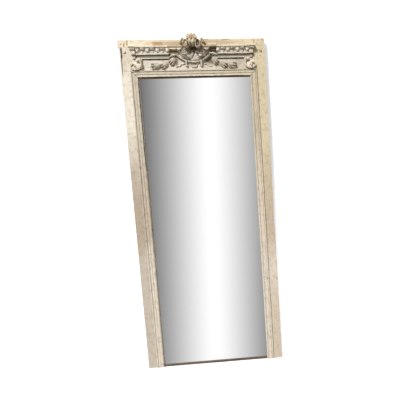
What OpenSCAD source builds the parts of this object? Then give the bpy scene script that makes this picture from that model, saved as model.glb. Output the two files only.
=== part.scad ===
// Tall trumeau mirror: a painted board frame, a mitred moulding round the glass, and over it a
// frieze with an egg-and-leaf cornice, scroll consoles, husk garlands and a carved trophy.
// Millimetres, Z up. The origin is the middle of the foot, in the plane of the back; front is -Y.

/* [Frame] */
// Width over the two stiles
frame_w = 960; // [920:5:1000]
// Height from the foot to the top edge
frame_h = 2270; // [2150:10:2400]
// Thickness of the stiles and rails
board_t = 28; // [26:1:32]
// Width of each stile
stile_w = 107; // [104:1:112]
// Height of the top rail
top_rail_h = 45; // [42:1:52]
// How far the top rail runs past the left stile
rail_overhang = 9; // [2:1:14]
// Height of the frieze, from the moulding to the top rail
frieze_h = 154; // [150:1:160]
// Height of the dark rail under the glass
foot_rail_h = 14; // [12:1:20]
// Thickness of the dark rail, front to back
foot_rail_t = 24; // [22:1:26]

/* [Joints] */
// Thickness of every tenon
tenon_t = 9; // [7:1:10]
// Length of the tenons that stand on the stiles
stile_tenon_len = 26; // [22:1:30]
// Width of the tenons that stand on the stiles
stile_tenon_w = 50; // [40:1:60]
// Length of the transom's tenons
transom_tenon_len = 30; // [24:1:36]
// Height of the transom's tenons
transom_tenon_h = 18; // [14:1:20]
// Radius of the wooden pegs
peg_r = 4; // [3:0.5:5]
// Length of the wooden pegs
peg_len = 21; // [20:1:24]
// Clearance round tenons, tongues and loose edges
joint_gap = 0.15; // [0.05:0.05:0.25]

/* [Wall fixing] */
// Radius of the wall-screw holes
screw_hole_r = 4; // [3:0.5:5]
// Distance of the wall-screw holes from the outer edge of their stile
screw_edge = 32; // [26:1:40]
// Depth of the wall-screw holes below the top edge
screw_drop = 84; // [75:1:95]

/* [Glass and back] */
// Thickness of the glass
glass_t = 5; // [4:0.5:6]
// Thickness of the silvering and its paint
silver_t = 0.4; // [0.3:0.1:0.6]
// Depth of the glass face behind the front of the boards
glass_inset = 12; // [10:1:13]
// Width of the rebate that holds the glass
rebate_w = 10; // [8:1:12]
// Clearance between the edge of the glass and the rebate
glass_gap = 2; // [1:0.5:3]
// Height of the lip of the dark rail in front of the glass
foot_lip_h = 6; // [4:1:8]
// Width of the rebate for the back boards
board_rebate_w = 26; // [22:1:28]
// Thickness of the back boards
back_t = 6; // [5:0.5:7]
// Gap between one back board and the next
back_board_gap = 1; // [0.5:0.5:3]
// Length of a glazing wedge
wedge_len = 50; // [30:5:70]
// Wedges on each side of the glass
wedge_count = 5; // [3:1:7]
// Radius of the nails' heads
nail_head_r = 2.6; // [2:0.1:3]
// Thickness of the nails' heads
nail_head_t = 0.8; // [0.6:0.1:1.2]
// Radius of the nails' shanks
nail_r = 1.1; // [0.9:0.1:1.4]
// Length of the nails
nail_len = 15; // [12:1:16]
// Distance of a nail from the edge of its board
nail_edge = 40; // [30:1:60]
// Height of the batten behind the frieze
batten_h = 60; // [40:5:80]

/* [Moulding round the glass] */
// Width of the moulding
moulding_w = 47; // [45:1:50]
// How far the moulding reaches past the boards over the glass
moulding_lip = 2; // [1:0.5:3]
// Thickness of the moulding's ground
moulding_base = 3.5; // [3:0.5:5]
// Radius of the bead at the sight edge
bead_r = 6.5; // [5:0.5:7]
// Width of the cove beside the bead
cove_w = 9; // [7:0.5:10]
// Width of the flat band
band_w = 14; // [12:0.5:15]
// Height of the flat band
band_h = 6.5; // [5:0.5:8]
// Width of the outer fillet
fillet_w = 7; // [5:0.5:9]
// Height of the outer fillet
fillet_h = 9; // [7:0.5:10]

/* [Frieze and cornice] */
// How far the frieze panel lies behind the boards
frieze_recess = 8; // [6:0.5:9]
// Thickness of the frieze panel
panel_t = 14; // [12:1:14]
// Depth of the grooves that hold the panel
groove_d = 8; // [6:1:9]
// Width of the console blocks
block_w = 35; // [30:1:40]
// Half the opening left for the trophy
cornice_in_x = 160; // [156:1:164]
// How far outside the stile's inner edge the end blocks start
end_block_set = 4; // [1:1:7]
// Width of the core of an end block
end_core_w = 7; // [5:1:11]
// How far the end blocks break forward
end_break = 12; // [8:1:14]
// Height of the cornice over its cap
cornice_h = 77; // [75:1:80]
// How far the cap laps over the top rail
cap_lap = 0; // [0:1:4]
// Projection of the cap
cap_p = 32; // [28:1:36]
// Height of the cap
cap_h = 14; // [12:1:16]
// Height of the flat face of the cap
cap_face_h = 8; // [6:1:9]
// Height of the egg band
egg_band_h = 29; // [27:1:31]
// Projection of the egg band at its foot
egg_band_p = 14; // [12:1:16]
// Projection of the fillet under the eggs
bed_p = 17; // [15:1:20]
// Height of the fillet under the eggs
bed_fillet_h = 10; // [8:1:12]
// Projection of the lowest fillet
foot_fillet_p = 9; // [7:1:10]
// Place of the first egg from the middle
egg_start = 166; // [164:0.5:168]
// Distance of the last egg from its end block
egg_end = 14.5; // [13:0.5:18]
// Eggs in each half of the cornice
egg_count = 4; // [2:1:4]
// Half the height of an egg
egg_rise = 13; // [11:0.5:13.5]
// Radius of an egg
egg_r = 9.5; // [8.5:0.5:10]
// Radius of the rim round an egg
egg_rim_r = 2; // [1.5:0.25:2.5]

/* [Consoles] */
// Outer radius of the console's scroll
scroll_r = 34; // [30:1:36]
// How far outside the stile's inner edge the scroll's eye lies
scroll_set = 3; // [0:1:6]
// Height of the scroll's eye above the moulding
scroll_rise = 35; // [34:1:38]
// Width of the scroll's strap
scroll_w = 10; // [8:0.5:11]
// Relief of the scroll's strap
scroll_relief = 20; // [16:1:24]
// Turns of the scroll
scroll_turns = 1.45; // [1.2:0.05:1.6]
// Room between the tip of the bud and the scroll's eye
bud_clear = 19; // [16:1:24]

/* [Trophy] */
// Thickness of the shield
shield_t = 34; // [28:1:40]
// Half the width of the shield
shield_x = 104; // [98:1:110]
// Height of the shield's shoulder line above the frieze's foot
shoulder_z = 117; // [112:1:122]
// Height of the shield's foot above the frieze's foot
shield_foot_z = 62; // [58:1:66]
// Radius of the volutes on the crest
volute_r = 24; // [20:1:26]
// Turns of the volutes on the crest
volute_turns = 1.3; // [1.1:0.05:1.5]
// Relief of the volutes over the shield
volute_relief = 34; // [28:1:36]
// Distance of a volute from the middle
volute_x = 39; // [36:1:42]
// Height of the volutes above the frieze's foot
volute_z = 162; // [158:1:166]
// Height of the crest's top above the frieze's foot
crest_z = 230; // [226:1:236]
// Width of the bow
bow_w = 8; // [6:1:10]
// Width of the ribbon's loop
loop_w = 40; // [34:1:46]
// Height of the ribbon's loop
loop_h = 21; // [18:1:24]
// Radius of the quiver's mouth
quiver_r = 20; // [17:1:21]
// Radius of the torch
torch_r = 11; // [9:1:13]
// Length of a husk
husk_len = 58; // [50:1:64]
// Radius of a husk at its mouth
husk_r = 21; // [18:1:24]

/* [Hidden] */

eps = 0.5;
cream = [0.93, 0.88, 0.78];
stone = [0.80, 0.76, 0.69];
bare_wood = [0.62, 0.48, 0.33];
dark_wood = [0.27, 0.20, 0.14];

// Places that follow from the sizes above
front_y = -board_t;
panel_y = front_y + frieze_recess;
glass_y = front_y + glass_inset;
silver_y = glass_y + glass_t;
stile_in = frame_w / 2 - stile_w;
stile_mid = frame_w / 2 - stile_w / 2;
rail_z = frame_h - top_rail_h;
frieze_z = rail_z - frieze_h;
sight_x = stile_in - moulding_lip;
sight_z = frieze_z - moulding_w;
transom_z = sight_z + moulding_lip;
tenon_y = front_y + (board_t - tenon_t) / 2 - 3;
transom_tenon_z = frieze_z - groove_d - 2 - transom_tenon_h;
peg_z = rail_z + stile_tenon_len / 2;
transom_peg_z = transom_tenon_z + transom_tenon_h / 2;
screw_x = frame_w / 2 - screw_edge;
screw_z = frame_h - screw_drop;
glass_x = stile_in + rebate_w - glass_gap;
glass_foot = foot_rail_h - foot_lip_h;
glass_head = transom_z + rebate_w - glass_gap;
board_edge = stile_in + board_rebate_w;
board_head = transom_z + board_rebate_w;
back_count = 6;
back_pitch = (board_head - joint_gap - glass_foot + back_board_gap) / back_count;
nail_x = stile_in + (rebate_w + board_rebate_w) / 2;
block_in_x = stile_in - block_w;
end_block_x = stile_in + end_block_set;
end_core_x = end_block_x + end_core_w;
cornice_top = rail_z + cap_lap;
egg_band_z = cornice_top - cap_h - egg_band_h;
bed_z = cornice_top - cornice_h;
bed_h = cornice_h - cap_h - egg_band_h;
egg_pitch = (end_block_x - egg_end - egg_start) / max(egg_count - 1, 1);
egg_z = egg_band_z + egg_band_h / 2;
ovolo_r = cap_p - (cap_h - cap_face_h) - egg_band_p;
egg_y = panel_y - egg_band_p - ovolo_r / 2;
scroll_x = stile_in + scroll_set;
scroll_z = frieze_z + scroll_rise;

// Two-piece repeats: one child on the right, and its mirror image on the left
module on_left() {
    mirror([1, 0, 0]) children();
}

// Nails at the two ends of every back board, on the right-hand side
function nail_heights() = [for (i = [0:back_count - 1], s = [0, 1])
    glass_foot + i * back_pitch + (s == 0 ? nail_edge : back_pitch - back_board_gap - nail_edge)];

module nail_bores() {
    for (z = nail_heights())
        translate([nail_x, 0, z]) rotate([90, 0, 0]) {
            translate([0, 0, -eps]) cylinder(h = nail_head_t + eps, r = nail_head_r, $fn = 24);
            cylinder(h = nail_len, r = nail_r, $fn = 24);
        }
}

// Carcass

module stile_tenon(gap) {
    translate([stile_mid - stile_tenon_w / 2 - gap, tenon_y - gap, rail_z - eps])
        cube([stile_tenon_w + 2 * gap, tenon_t + 2 * gap, stile_tenon_len + gap + eps]);
}

module transom_tenon(gap) {
    translate([stile_in - eps, tenon_y - gap, transom_tenon_z - gap])
        cube([transom_tenon_len + gap + eps, tenon_t + 2 * gap, transom_tenon_h + 2 * gap]);
}

module peg_bores() {
    translate([stile_mid, front_y - eps, peg_z]) rotate([-90, 0, 0])
        cylinder(h = peg_len + eps, r = peg_r, $fn = 32);
    translate([stile_in + transom_tenon_len / 2, front_y - eps, transom_peg_z])
        rotate([-90, 0, 0]) cylinder(h = peg_len + eps, r = peg_r, $fn = 32);
}

module panel_space(gap) {
    translate([-stile_in - groove_d - gap, panel_y - gap, frieze_z - groove_d - gap])
        cube([2 * (stile_in + groove_d + gap), panel_t + 2 * gap, frieze_h + 2 * (groove_d + gap)]);
}

module stile() {
    difference() {
        union() {
            translate([stile_in, front_y, 0]) cube([stile_w, board_t, rail_z]);
            stile_tenon(0);
        }
        translate([stile_in - eps, glass_y, -eps])
            cube([rebate_w + eps, board_t, transom_z + rebate_w + eps]);
        translate([stile_in - eps, -back_t, -eps])
            cube([board_rebate_w + eps, back_t + eps, board_head + eps]);
        panel_space(joint_gap);
        transom_tenon(joint_gap);
        peg_bores();
        nail_bores();
        translate([screw_x, eps, screw_z]) rotate([90, 0, 0])
            cylinder(h = board_t + 2 * eps, r = screw_hole_r, $fn = 48);
    }
}

module right_stile() {
    color(cream) stile();
}

module left_stile() {
    color(cream) on_left() stile();
}

module top_rail() {
    color(cream) difference() {
        translate([-frame_w / 2 - rail_overhang, front_y, rail_z])
            cube([frame_w + rail_overhang, board_t, top_rail_h]);
        stile_tenon(joint_gap);
        on_left() stile_tenon(joint_gap);
        panel_space(joint_gap);
        peg_bores();
        on_left() peg_bores();
    }
}

module transom_rail() {
    color(bare_wood) difference() {
        union() {
            translate([-stile_in, front_y, transom_z])
                cube([2 * stile_in, board_t, frieze_z - transom_z]);
            transom_tenon(0);
            on_left() transom_tenon(0);
        }
        translate([-stile_in - eps, glass_y, transom_z - eps])
            cube([2 * (stile_in + eps), board_t, rebate_w + eps]);
        translate([-stile_in - eps, -back_t, transom_z - eps])
            cube([2 * (stile_in + eps), back_t + eps, board_rebate_w + eps]);
        panel_space(joint_gap);
        peg_bores();
        on_left() peg_bores();
    }
}

module foot_rail() {
    color(dark_wood) union() {
        translate([-stile_in, -foot_rail_t, 0])
            cube([2 * stile_in, foot_rail_t + glass_y, foot_rail_h]);
        translate([-stile_in - rebate_w + joint_gap, glass_y - eps, 0])
            cube([2 * (stile_in + rebate_w - joint_gap), -back_t - glass_y + eps, glass_foot]);
        translate([-board_edge + joint_gap, -back_t - eps, 0])
            cube([2 * (board_edge - joint_gap), back_t + eps, glass_foot]);
    }
}

module joint_pegs() {
    color(bare_wood) for (side = [0, 1]) mirror([side, 0, 0]) {
        translate([stile_mid, front_y, peg_z]) rotate([-90, 0, 0])
            cylinder(h = peg_len, r = peg_r, $fn = 32);
        translate([stile_in + transom_tenon_len / 2, front_y, transom_peg_z])
            rotate([-90, 0, 0]) cylinder(h = peg_len, r = peg_r, $fn = 32);
    }
}

module frieze_panel() {
    color(stone) panel_space(0);
}

module frieze_batten() {
    color(bare_wood)
        translate([-stile_in + joint_gap, panel_y + panel_t, frieze_z + (frieze_h - batten_h) / 2])
            cube([2 * (stile_in - joint_gap), -panel_y - panel_t, batten_h]);
}

module console_block() {
    translate([block_in_x, front_y, frieze_z])
        cube([stile_in - block_in_x, frieze_recess, frieze_h]);
}

module right_console_block() {
    color(cream) console_block();
}

module left_console_block() {
    color(cream) on_left() console_block();
}

// Moulding round the glass: x across from the sight edge, y up from the boards

module moulding_profile() {
    cove_x = 2 * bead_r;
    band_x = cove_x + cove_w;
    fillet_x = moulding_w - fillet_w;
    intersection() {
        square([moulding_w, 2 * fillet_h]);
        union() {
            square([moulding_w, moulding_base]);
            translate([bead_r, moulding_base]) circle(r = bead_r, $fn = 48);
            difference() {
                translate([cove_x - 1, 0]) square([cove_w + 1, band_h]);
                translate([cove_x + cove_w / 2, band_h]) circle(r = cove_w / 2, $fn = 48);
            }
            translate([band_x, 0]) square([band_w, band_h]);
            translate([fillet_x, 0]) square([fillet_w, fillet_h]);
        }
    }
}

// Everything on the outer side of the mitre line, from the sight corner to the outer corner
module side_of_mitre(rise) {
    big = moulding_w + 60;
    translate([sight_x, front_y + eps, sight_z]) rotate([90, 0, 0])
        linear_extrude(fillet_h + 20)
            polygon([[0, 0], [big, big], [big, -rise], [-eps, -rise], [-eps, 0]]);
}

module side_moulding() {
    intersection() {
        translate([sight_x, front_y, 0]) mirror([0, 1, 0])
            linear_extrude(sight_z + moulding_w) moulding_profile();
        side_of_mitre(frame_h);
    }
}

module right_moulding() {
    color(cream) side_moulding();
}

module left_moulding() {
    color(cream) on_left() side_moulding();
}

module top_moulding() {
    outer = sight_x + moulding_w;
    color(cream) difference() {
        translate([-outer, front_y, sight_z]) rotate([90, 0, 90])
            linear_extrude(2 * outer) rotate(90) moulding_profile();
        side_of_mitre(eps);
        on_left() side_of_mitre(eps);
    }
}

// Glass and back

module mirror_glass() {
    color([0.75, 0.80, 0.82]) translate([-glass_x, glass_y, glass_foot])
        cube([2 * glass_x, glass_t, glass_head - glass_foot]);
}

module silvering() {
    color([0.55, 0.35, 0.28]) translate([-glass_x, silver_y, glass_foot])
        cube([2 * glass_x, silver_t, glass_head - glass_foot]);
}

// A glued wedge in the corner between the back of the glass and the wall of the rebate
module wedge() {
    depth = -back_t - joint_gap - silver_y - silver_t;
    linear_extrude(wedge_len, center = true)
        polygon([[0, 0], [-rebate_w, 0], [-rebate_w, 1], [-1, depth], [0, depth]]);
}

module glass_wedges() {
    wall = stile_in + rebate_w;
    span = glass_head - glass_foot;
    y = silver_y + silver_t;
    color(bare_wood) {
        for (side = [0, 1], i = [0:wedge_count - 1]) mirror([side, 0, 0])
            translate([wall, y, glass_foot + span * (i + 0.5) / wedge_count]) wedge();
        for (i = [-1:1])
            translate([i * stile_in * 0.6, y, transom_z + rebate_w]) rotate([0, -90, 0]) wedge();
    }
}

module back_board(i) {
    color(bare_wood) difference() {
        translate([-board_edge + joint_gap, -back_t, glass_foot + i * back_pitch])
            cube([2 * (board_edge - joint_gap), back_t, back_pitch - back_board_gap]);
        nail_bores();
        on_left() nail_bores();
    }
}

module back_board_1() {
    back_board(0);
}

module back_board_2() {
    back_board(1);
}

module back_board_3() {
    back_board(2);
}

module back_board_4() {
    back_board(3);
}

module back_board_5() {
    back_board(4);
}

module back_board_6() {
    back_board(5);
}

module back_nails() {
    color([0.35, 0.33, 0.31]) for (side = [0, 1], z = nail_heights()) mirror([side, 0, 0])
        translate([nail_x, 0, z]) rotate([90, 0, 0]) {
            cylinder(h = nail_head_t, r = nail_head_r, $fn = 24);
            cylinder(h = nail_len, r = nail_r, $fn = 24);
        }
}

// Cornice. A member's profile has x out from the panel and y up from the foot of the cornice.

module cap_profile() {
    cavetto_r = cap_h - cap_face_h;
    translate([0, cornice_h - cap_h]) difference() {
        square([cap_p, cap_h]);
        translate([cap_p, 0]) circle(r = cavetto_r, $fn = 48);
    }
}

module egg_band_profile() {
    square_h = bed_h + egg_band_h;
    translate([0, bed_h]) square([egg_band_p, egg_band_h]);
    intersection() {
        translate([egg_band_p - eps, bed_h]) square([ovolo_r, egg_band_h]);
        translate([egg_band_p, square_h]) circle(r = ovolo_r, $fn = 64);
    }
}

module bed_profile() {
    fillet_z = bed_h - bed_fillet_h;
    cove_r = bed_p - foot_fillet_p;
    square([foot_fillet_p, fillet_z]);
    translate([0, fillet_z]) square([bed_p, bed_fillet_h]);
    difference() {
        translate([foot_fillet_p - eps, fillet_z - cove_r]) square([cove_r + eps, cove_r]);
        translate([bed_p, fillet_z - cove_r]) circle(r = cove_r, $fn = 48);
    }
}

// One member along the right half: a straight run, and an end block mitred round its outer corner.
// The member lies from z to z + h above the foot of the cornice.
module cornice_member(z, h) {
    translate([cornice_in_x - eps, panel_y, bed_z]) rotate([90, 0, 90])
        linear_extrude(end_block_x - cornice_in_x + eps) mirror([1, 0, 0]) children();
    intersection() {
        translate([end_block_x, panel_y - end_break, bed_z]) rotate([90, 0, 90])
            linear_extrude(end_core_x - end_block_x + cap_p) union() {
                mirror([1, 0, 0]) children();
                translate([-eps, z]) square([end_break + eps, h]);
            }
        translate([end_core_x, panel_y, bed_z]) rotate([90, 0, 0])
            linear_extrude(cap_p + end_break) union() {
                children();
                translate([end_block_x - end_core_x, z]) square([end_core_x - end_block_x + eps, h]);
            }
    }
}

// Room for the boards behind the end blocks, for the console blocks and for the trophy
module cornice_cuts() {
    translate([block_in_x - joint_gap, front_y, frieze_z])
        cube([frame_w, board_t, frieze_h + top_rail_h]);
    translate([0, front_y, rail_z]) cube([frame_w, board_t, top_rail_h]);
    translate([0, panel_y - cap_p - eps, bed_z - eps])
        cube([cornice_in_x, cap_p + 2 * eps, cornice_h + 2 * eps]);
}

module cap() {
    difference() {
        cornice_member(cornice_h - cap_h, cap_h) cap_profile();
        cornice_cuts();
    }
}

module right_cap() {
    color(stone) cap();
}

module left_cap() {
    color(stone) on_left() cap();
}

// Half the outline of an egg, to be turned round its upright axis
function egg_outline() = [for (i = [0:12]) let (t = 15 * i)
    [egg_r * sin(t) * (1 + 0.14 * cos(t)), egg_rise * cos(t)]];

module egg() {
    rim_out = egg_band_h / 2 - 0.7;
    rotate_extrude($fn = 48) polygon(egg_outline());
    difference() {
        translate([0, egg_r * 0.6, 0]) rotate([90, 0, 0]) difference() {
            cylinder(h = egg_r, r = rim_out, $fn = 64);
            translate([0, 0, -eps]) cylinder(h = egg_r + 2 * eps, r = rim_out - egg_rim_r, $fn = 64);
        }
        translate([-egg_band_h / 2, -egg_band_h / 2, egg_rise * 0.6])
            cube([egg_band_h, egg_band_h, egg_band_h]);
    }
}

// Pointed leaf between two eggs
module dart() {
    rotate_extrude($fn = 32) scale(egg_rise)
        polygon([[0, 1], [0.2, 1], [0.3, 0.8], [0.38, 0.3], [0.25, -0.4], [0.06, -1], [0, -1]]);
}

module egg_band() {
    block_mid = (end_block_x + end_core_x + egg_band_p) / 2;
    difference() {
        union() {
            cornice_member(bed_h, egg_band_h) egg_band_profile();
            for (i = [0:egg_count - 1])
                translate([egg_start + i * egg_pitch, egg_y, egg_z]) egg();
            for (i = [0:egg_count - 2])
                translate([egg_start + (i + 0.5) * egg_pitch, egg_y - 2, egg_z]) dart();
            translate([block_mid, egg_y - end_break, egg_z]) dart();
        }
        cornice_cuts();
    }
}

module right_egg_band() {
    color(stone) egg_band();
}

module left_egg_band() {
    color(stone) on_left() egg_band();
}

module bed() {
    difference() {
        cornice_member(0, bed_h) bed_profile();
        cornice_cuts();
    }
}

module right_bed() {
    color(stone) bed();
}

module left_bed() {
    color(stone) on_left() bed();
}

// Carving. A body is a row of rings. Each ring is an open curve whose two ends lie on the flat
// back, so the ring and its chord close one section.

module skin(rings) {
    n = len(rings[0]);
    m = len(rings);
    points = [for (r = rings) each r];
    sides = [for (k = [0:m - 2], i = [0:n - 1])
        [k * n + i, (k + 1) * n + i, (k + 1) * n + (i + 1) % n, k * n + (i + 1) % n]];
    first = [for (i = [0:n - 1]) i];
    last = [for (i = [n - 1:-1:0]) (m - 1) * n + i];
    polyhedron(points = points, faces = concat(sides, [first, last]), convexity = 6);
}

function mix(a, b, t) = a + (b - a) * t;

// Direction of a path at its point i, as an angle
function heading(path, i) = let (a = path[max(i - 1, 0)], b = path[min(i + 1, len(path) - 1)])
    atan2(b[1] - a[1], b[0] - a[0]);

// Points on an arc whose radius goes evenly from r0 to r1
function spiral(x, z, r0, r1, a0, a1, n) = [for (i = [0:n])
    let (t = i / n, a = mix(a0, a1, t), r = mix(r0, r1, t)) [x + r * cos(a), z + r * sin(a)]];

// A half-round strap along a path in the XZ plane, with its flat back at depth y
module strap(path, w0, w1, h0, h1, y, sides = 6) {
    last = len(path) - 1;
    skin([for (k = [0:last])
        let (t = k / last, a = heading(path, k), w = mix(w0, w1, t), h = mix(h0, h1, t))
        [for (i = [0:sides]) let (b = 180 * i / sides)
            [path[k][0] - sin(a) * cos(b) * w / 2, y - h * sin(b), path[k][1] + cos(a) * cos(b) * w / 2]]]);
}

// A fluted body along a straight axis from p, at angle a, with its flat back at depth y.
// Each station is [distance along, radius, depth of the flutes, how far the lobes run on] and,
// inside a hollow mouth, the height of the ring over the back.
module lobed(p, a, stations, lobes, y, squash = 1, sides = 18) {
    skin([for (s = stations)
        [for (i = [0:sides])
            let (b = 180 * i / sides, wave = cos(2 * lobes * b), r = s[1] * (1 + s[2] * wave),
                d = s[0] + s[3] * wave, lift = len(s) > 4 ? s[4] : 0)
            [p[0] + d * cos(a) - sin(a) * cos(b) * r, y - lift - squash * r * sin(b),
                p[1] + d * sin(a) + cos(a) * cos(b) * r]]]);
}

// Consoles

module console() {
    r = scroll_r - scroll_w / 2;
    top = bed_z - joint_gap;
    stem_x = scroll_x - r;
    stem = [for (i = [0:5]) [stem_x + 3 * sin(36 * i), mix(top, scroll_z + 2, i / 5.2)]];
    turn = spiral(scroll_x, scroll_z, r, 8, 180, 180 + 360 * scroll_turns, 44);
    strap(concat(stem, turn), scroll_w, scroll_w * 0.7, scroll_relief, scroll_relief * 0.75, front_y);
    translate([scroll_x, front_y, scroll_z]) rotate([90, 0, 0]) {
        cylinder(h = scroll_relief * 0.3, r = scroll_r - scroll_w / 2, $fn = 64);
        cylinder(h = scroll_relief * 0.8, r = 5, $fn = 32);
    }
    translate([stem_x, front_y - scroll_relief * 0.3, scroll_z])
        cube([scroll_r - scroll_w, scroll_relief * 0.3, top - scroll_z]);
}

module right_console() {
    color(cream) console();
}

module left_console() {
    color(cream) on_left() console();
}

module bud() {
    len = bed_z - joint_gap - scroll_z - bud_clear;
    lobed([scroll_x - scroll_r + 24, bed_z - joint_gap], -90,
        [[0, 5, 0, 0], [len * 0.16, 8, 0.1, 0], [len * 0.42, 10, 0.14, 0], [len * 0.68, 8.5, 0.14, 0],
         [len * 0.88, 5, 0.1, 0], [len, 1.5, 0, 0]],
        2, front_y - scroll_relief * 0.3, 1.3, 14);
}

module right_bud() {
    color(cream) bud();
}

module left_bud() {
    color(cream) on_left() bud();
}

// Trophy

bow_r = 152;
bow_z = frieze_z + shield_foot_z - 9;
staff_y = panel_y - torch_r + 4;
staff_x = shield_x + 15;
shield_y = panel_y - shield_t;
hook_z = frieze_z + shoulder_z + 30;
foot_z = frieze_z + shield_foot_z + 10;

// Half the shield's lower edge: a slope down from the hook, rounded at the foot
function shield_edge() = concat([[shield_x + 10, hook_z - 2], [shield_x + 6, hook_z - 16]],
    [for (i = [0:8]) let (t = 1 - i / 8) [shield_x * t, foot_z + (hook_z - foot_z - 22) * pow(t, 1.35)]]);

// Half the outline of the shield: a tongue behind the crest, a hollow shoulder, a hook, the edge
function shield_half() = concat(
    [[0, frieze_z + crest_z - 16], [22, frieze_z + crest_z - 22], [40, frieze_z + crest_z - 42]],
    [for (i = [0:8]) let (a = mix(180, 300, i / 8)) [86 + 30 * cos(a), hook_z + 14 + 30 * sin(a)]],
    shield_edge());

// One hanging lobe on the shield
module shield_lobe() {
    lobed([44, frieze_z + shoulder_z + 4], -100,
        [[0, 26, 0.05, 0], [10, 31, 0.07, 0], [22, 28, 0.08, 0], [34, 20, 0.08, 0], [41, 11, 0.05, 0],
         [44, 4, 0, 0]], 3, shield_y + 1, 0.55, 20);
}

module shield() {
    half = shield_half();
    edge = shield_edge();
    rim = concat([for (p = edge) [p[0] - 4, p[1] + 3]],
        [for (i = [len(edge) - 2:-1:0]) [4 - edge[i][0], edge[i][1] + 3]]);
    color(stone) difference() {
        union() {
            translate([0, panel_y, 0]) rotate([90, 0, 0]) linear_extrude(shield_t)
                polygon(concat(half, [for (i = [len(half) - 2:-1:1]) [-half[i][0], half[i][1]]]));
            strap(rim, 9, 9, 9, 9, shield_y + 1, 4);
            shield_lobe();
            on_left() shield_lobe();
        }
        wood_behind();
    }
}

module crest_scroll() {
    color(stone) {
        lobed([0, frieze_z + shoulder_z + 12], 90,
            [[0, 8, 0, 0], [5, 17, 0.04, 0], [16, 23, 0.07, 0], [32, 24, 0.08, 0], [46, 20, 0.08, 0],
             [56, 13, 0.05, 0], [61, 5, 0, 0]],
            3, shield_y, 1.3, 18);
        for (side = [-1, 1])
            strap(spiral(side * volute_x, frieze_z + volute_z, volute_r - 4, 5, 90 + side * 60,
                90 + side * (60 - 360 * volute_turns), 34), 9, 6, volute_relief, volute_relief + 6, shield_y, 5);
    }
}

module crest_flower() {
    color(stone) for (i = [0:4]) let (a = 10 + 40 * i)
        lobed([12 * cos(a), frieze_z + crest_z - 39 + 12 * sin(a)], a,
            [[0, 5, 0, 0], [6, 9, 0, 0], [14, 10, 0.1, 0], [22, 7, 0.1, 0], [27, 2, 0, 0]],
            1, shield_y, 1.6, 8);
}

module ear() {
    strap(spiral(volute_x + 34, frieze_z + volute_z + 20, 12, 5, -80, 220, 14), 10, 6, 26, 20, front_y, 6);
}

module right_ear() {
    color(stone) ear();
}

module left_ear() {
    color(stone) on_left() ear();
}

// The bow hangs under the foot of the shield
module bow() {
    path = [for (i = [0:20]) let (a = mix(-136, -44, i / 20))
        [bow_r * cos(a), bow_z + bow_r + bow_r * sin(a)]];
    color(stone) {
        strap(path, bow_w, bow_w, 20, 20, panel_y, 5);
        for (side = [-1, 1])
            strap([for (i = [0:6]) [side * (46 + 4 * sin(30 * i)), bow_z + 5 - 6 * i]], 11, 6, 18, 8,
                panel_y, 5);
    }
}

module ribbon_loop() {
    z = bow_z - bow_w - 4;
    r = loop_h / 3;
    x = loop_w / 2 - r - 1;
    foot = z - loop_h + r;
    color(stone)
        strap(concat([[-loop_w / 2, z], [-x - r, foot + 2]], spiral(-x, foot, r, r, 190, 260, 4),
            spiral(x, foot, r, r, 280, 350, 4), [[x + r, foot + 2], [loop_w / 2, z]]),
            5, 5, 8, 8, panel_y, 4);
}

module ribbon() {
    strap([for (i = [0:8]) [64 + 7 * i, bow_z - 12 - 2.6 * i - 2.5 * sin(90 * i)]], 5, 4, 5, 4, panel_y, 4);
}

module right_ribbon() {
    color(stone) ribbon();
}

module left_ribbon() {
    color(stone) on_left() ribbon();
}

// Everything behind the face of the panel, and behind the face of the rail over it
module wood_behind() {
    translate([-frame_w / 2, panel_y, frieze_z]) cube([frame_w, board_t, frieze_h + top_rail_h]);
    translate([-frame_w / 2, front_y, rail_z]) cube([frame_w, board_t, 2 * top_rail_h]);
}

module quiver() {
    len = cornice_in_x - staff_x - 3;
    color(stone) difference() {
        translate([staff_x, staff_y, rail_z - quiver_r * 0.55]) rotate([0, 86, 0]) {
            cylinder(h = len, r1 = quiver_r - 6, r2 = quiver_r - 3, $fn = 40);
            translate([0, 0, len - 8]) cylinder(h = 8, r = quiver_r, $fn = 40);
            translate([0, 0, 8]) cylinder(h = 5, r = quiver_r - 2, $fn = 40);
        }
        wood_behind();
    }
}

module torch() {
    len = cornice_in_x - staff_x - 2;
    color(stone) mirror([1, 0, 0]) difference() {
        translate([staff_x, staff_y, frieze_z + shoulder_z + 1]) rotate([0, 88, 0]) {
            cylinder(h = len, r1 = torch_r - 3, r2 = torch_r - 1, $fn = 40);
            translate([0, 0, 16]) cylinder(h = 6, r = torch_r, $fn = 40);
        }
        wood_behind();
    }
}

module leaf() {
    strap([for (i = [0:8]) [112 + 5.4 * i, frieze_z + shoulder_z - 18 - 2 * i + 3 * sin(45 * i)]],
        16, 3, 30, 10, panel_y, 6);
}

module right_leaf() {
    color(stone) leaf();
}

module left_leaf() {
    color(stone) on_left() leaf();
}

// A husk: a fluted bell whose mouth opens into petals
module husk(x, z, a, size) {
    l = husk_len * size;
    r = husk_r * size;
    lobed([x, frieze_z + z], a,
        [[0, r * 0.3, 0, 0], [l * 0.08, r * 0.62, 0.05, 0], [l * 0.25, r * 0.92, 0.1, 0],
         [l * 0.45, r, 0.13, 0], [l * 0.65, r * 0.92, 0.16, l * 0.02], [l * 0.82, r * 0.86, 0.2, l * 0.06],
         [l * 0.93, r * 0.9, 0.2, l * 0.09], [l * 0.84, r * 0.5, 0.1, l * 0.04, 3],
         [l * 0.66, r * 0.25, 0, 0, 3]],
        4, panel_y, 1.05, 24);
}

module right_husk_1() {
    color(stone) husk(124, 78, -50, 0.86);
}

module right_husk_2() {
    color(stone) husk(174, 47, -32, 0.9);
}

module right_husk_3() {
    color(stone) husk(225, 33, -8, 1);
}

module left_husk_1() {
    color(stone) on_left() husk(124, 78, -50, 0.86);
}

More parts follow.
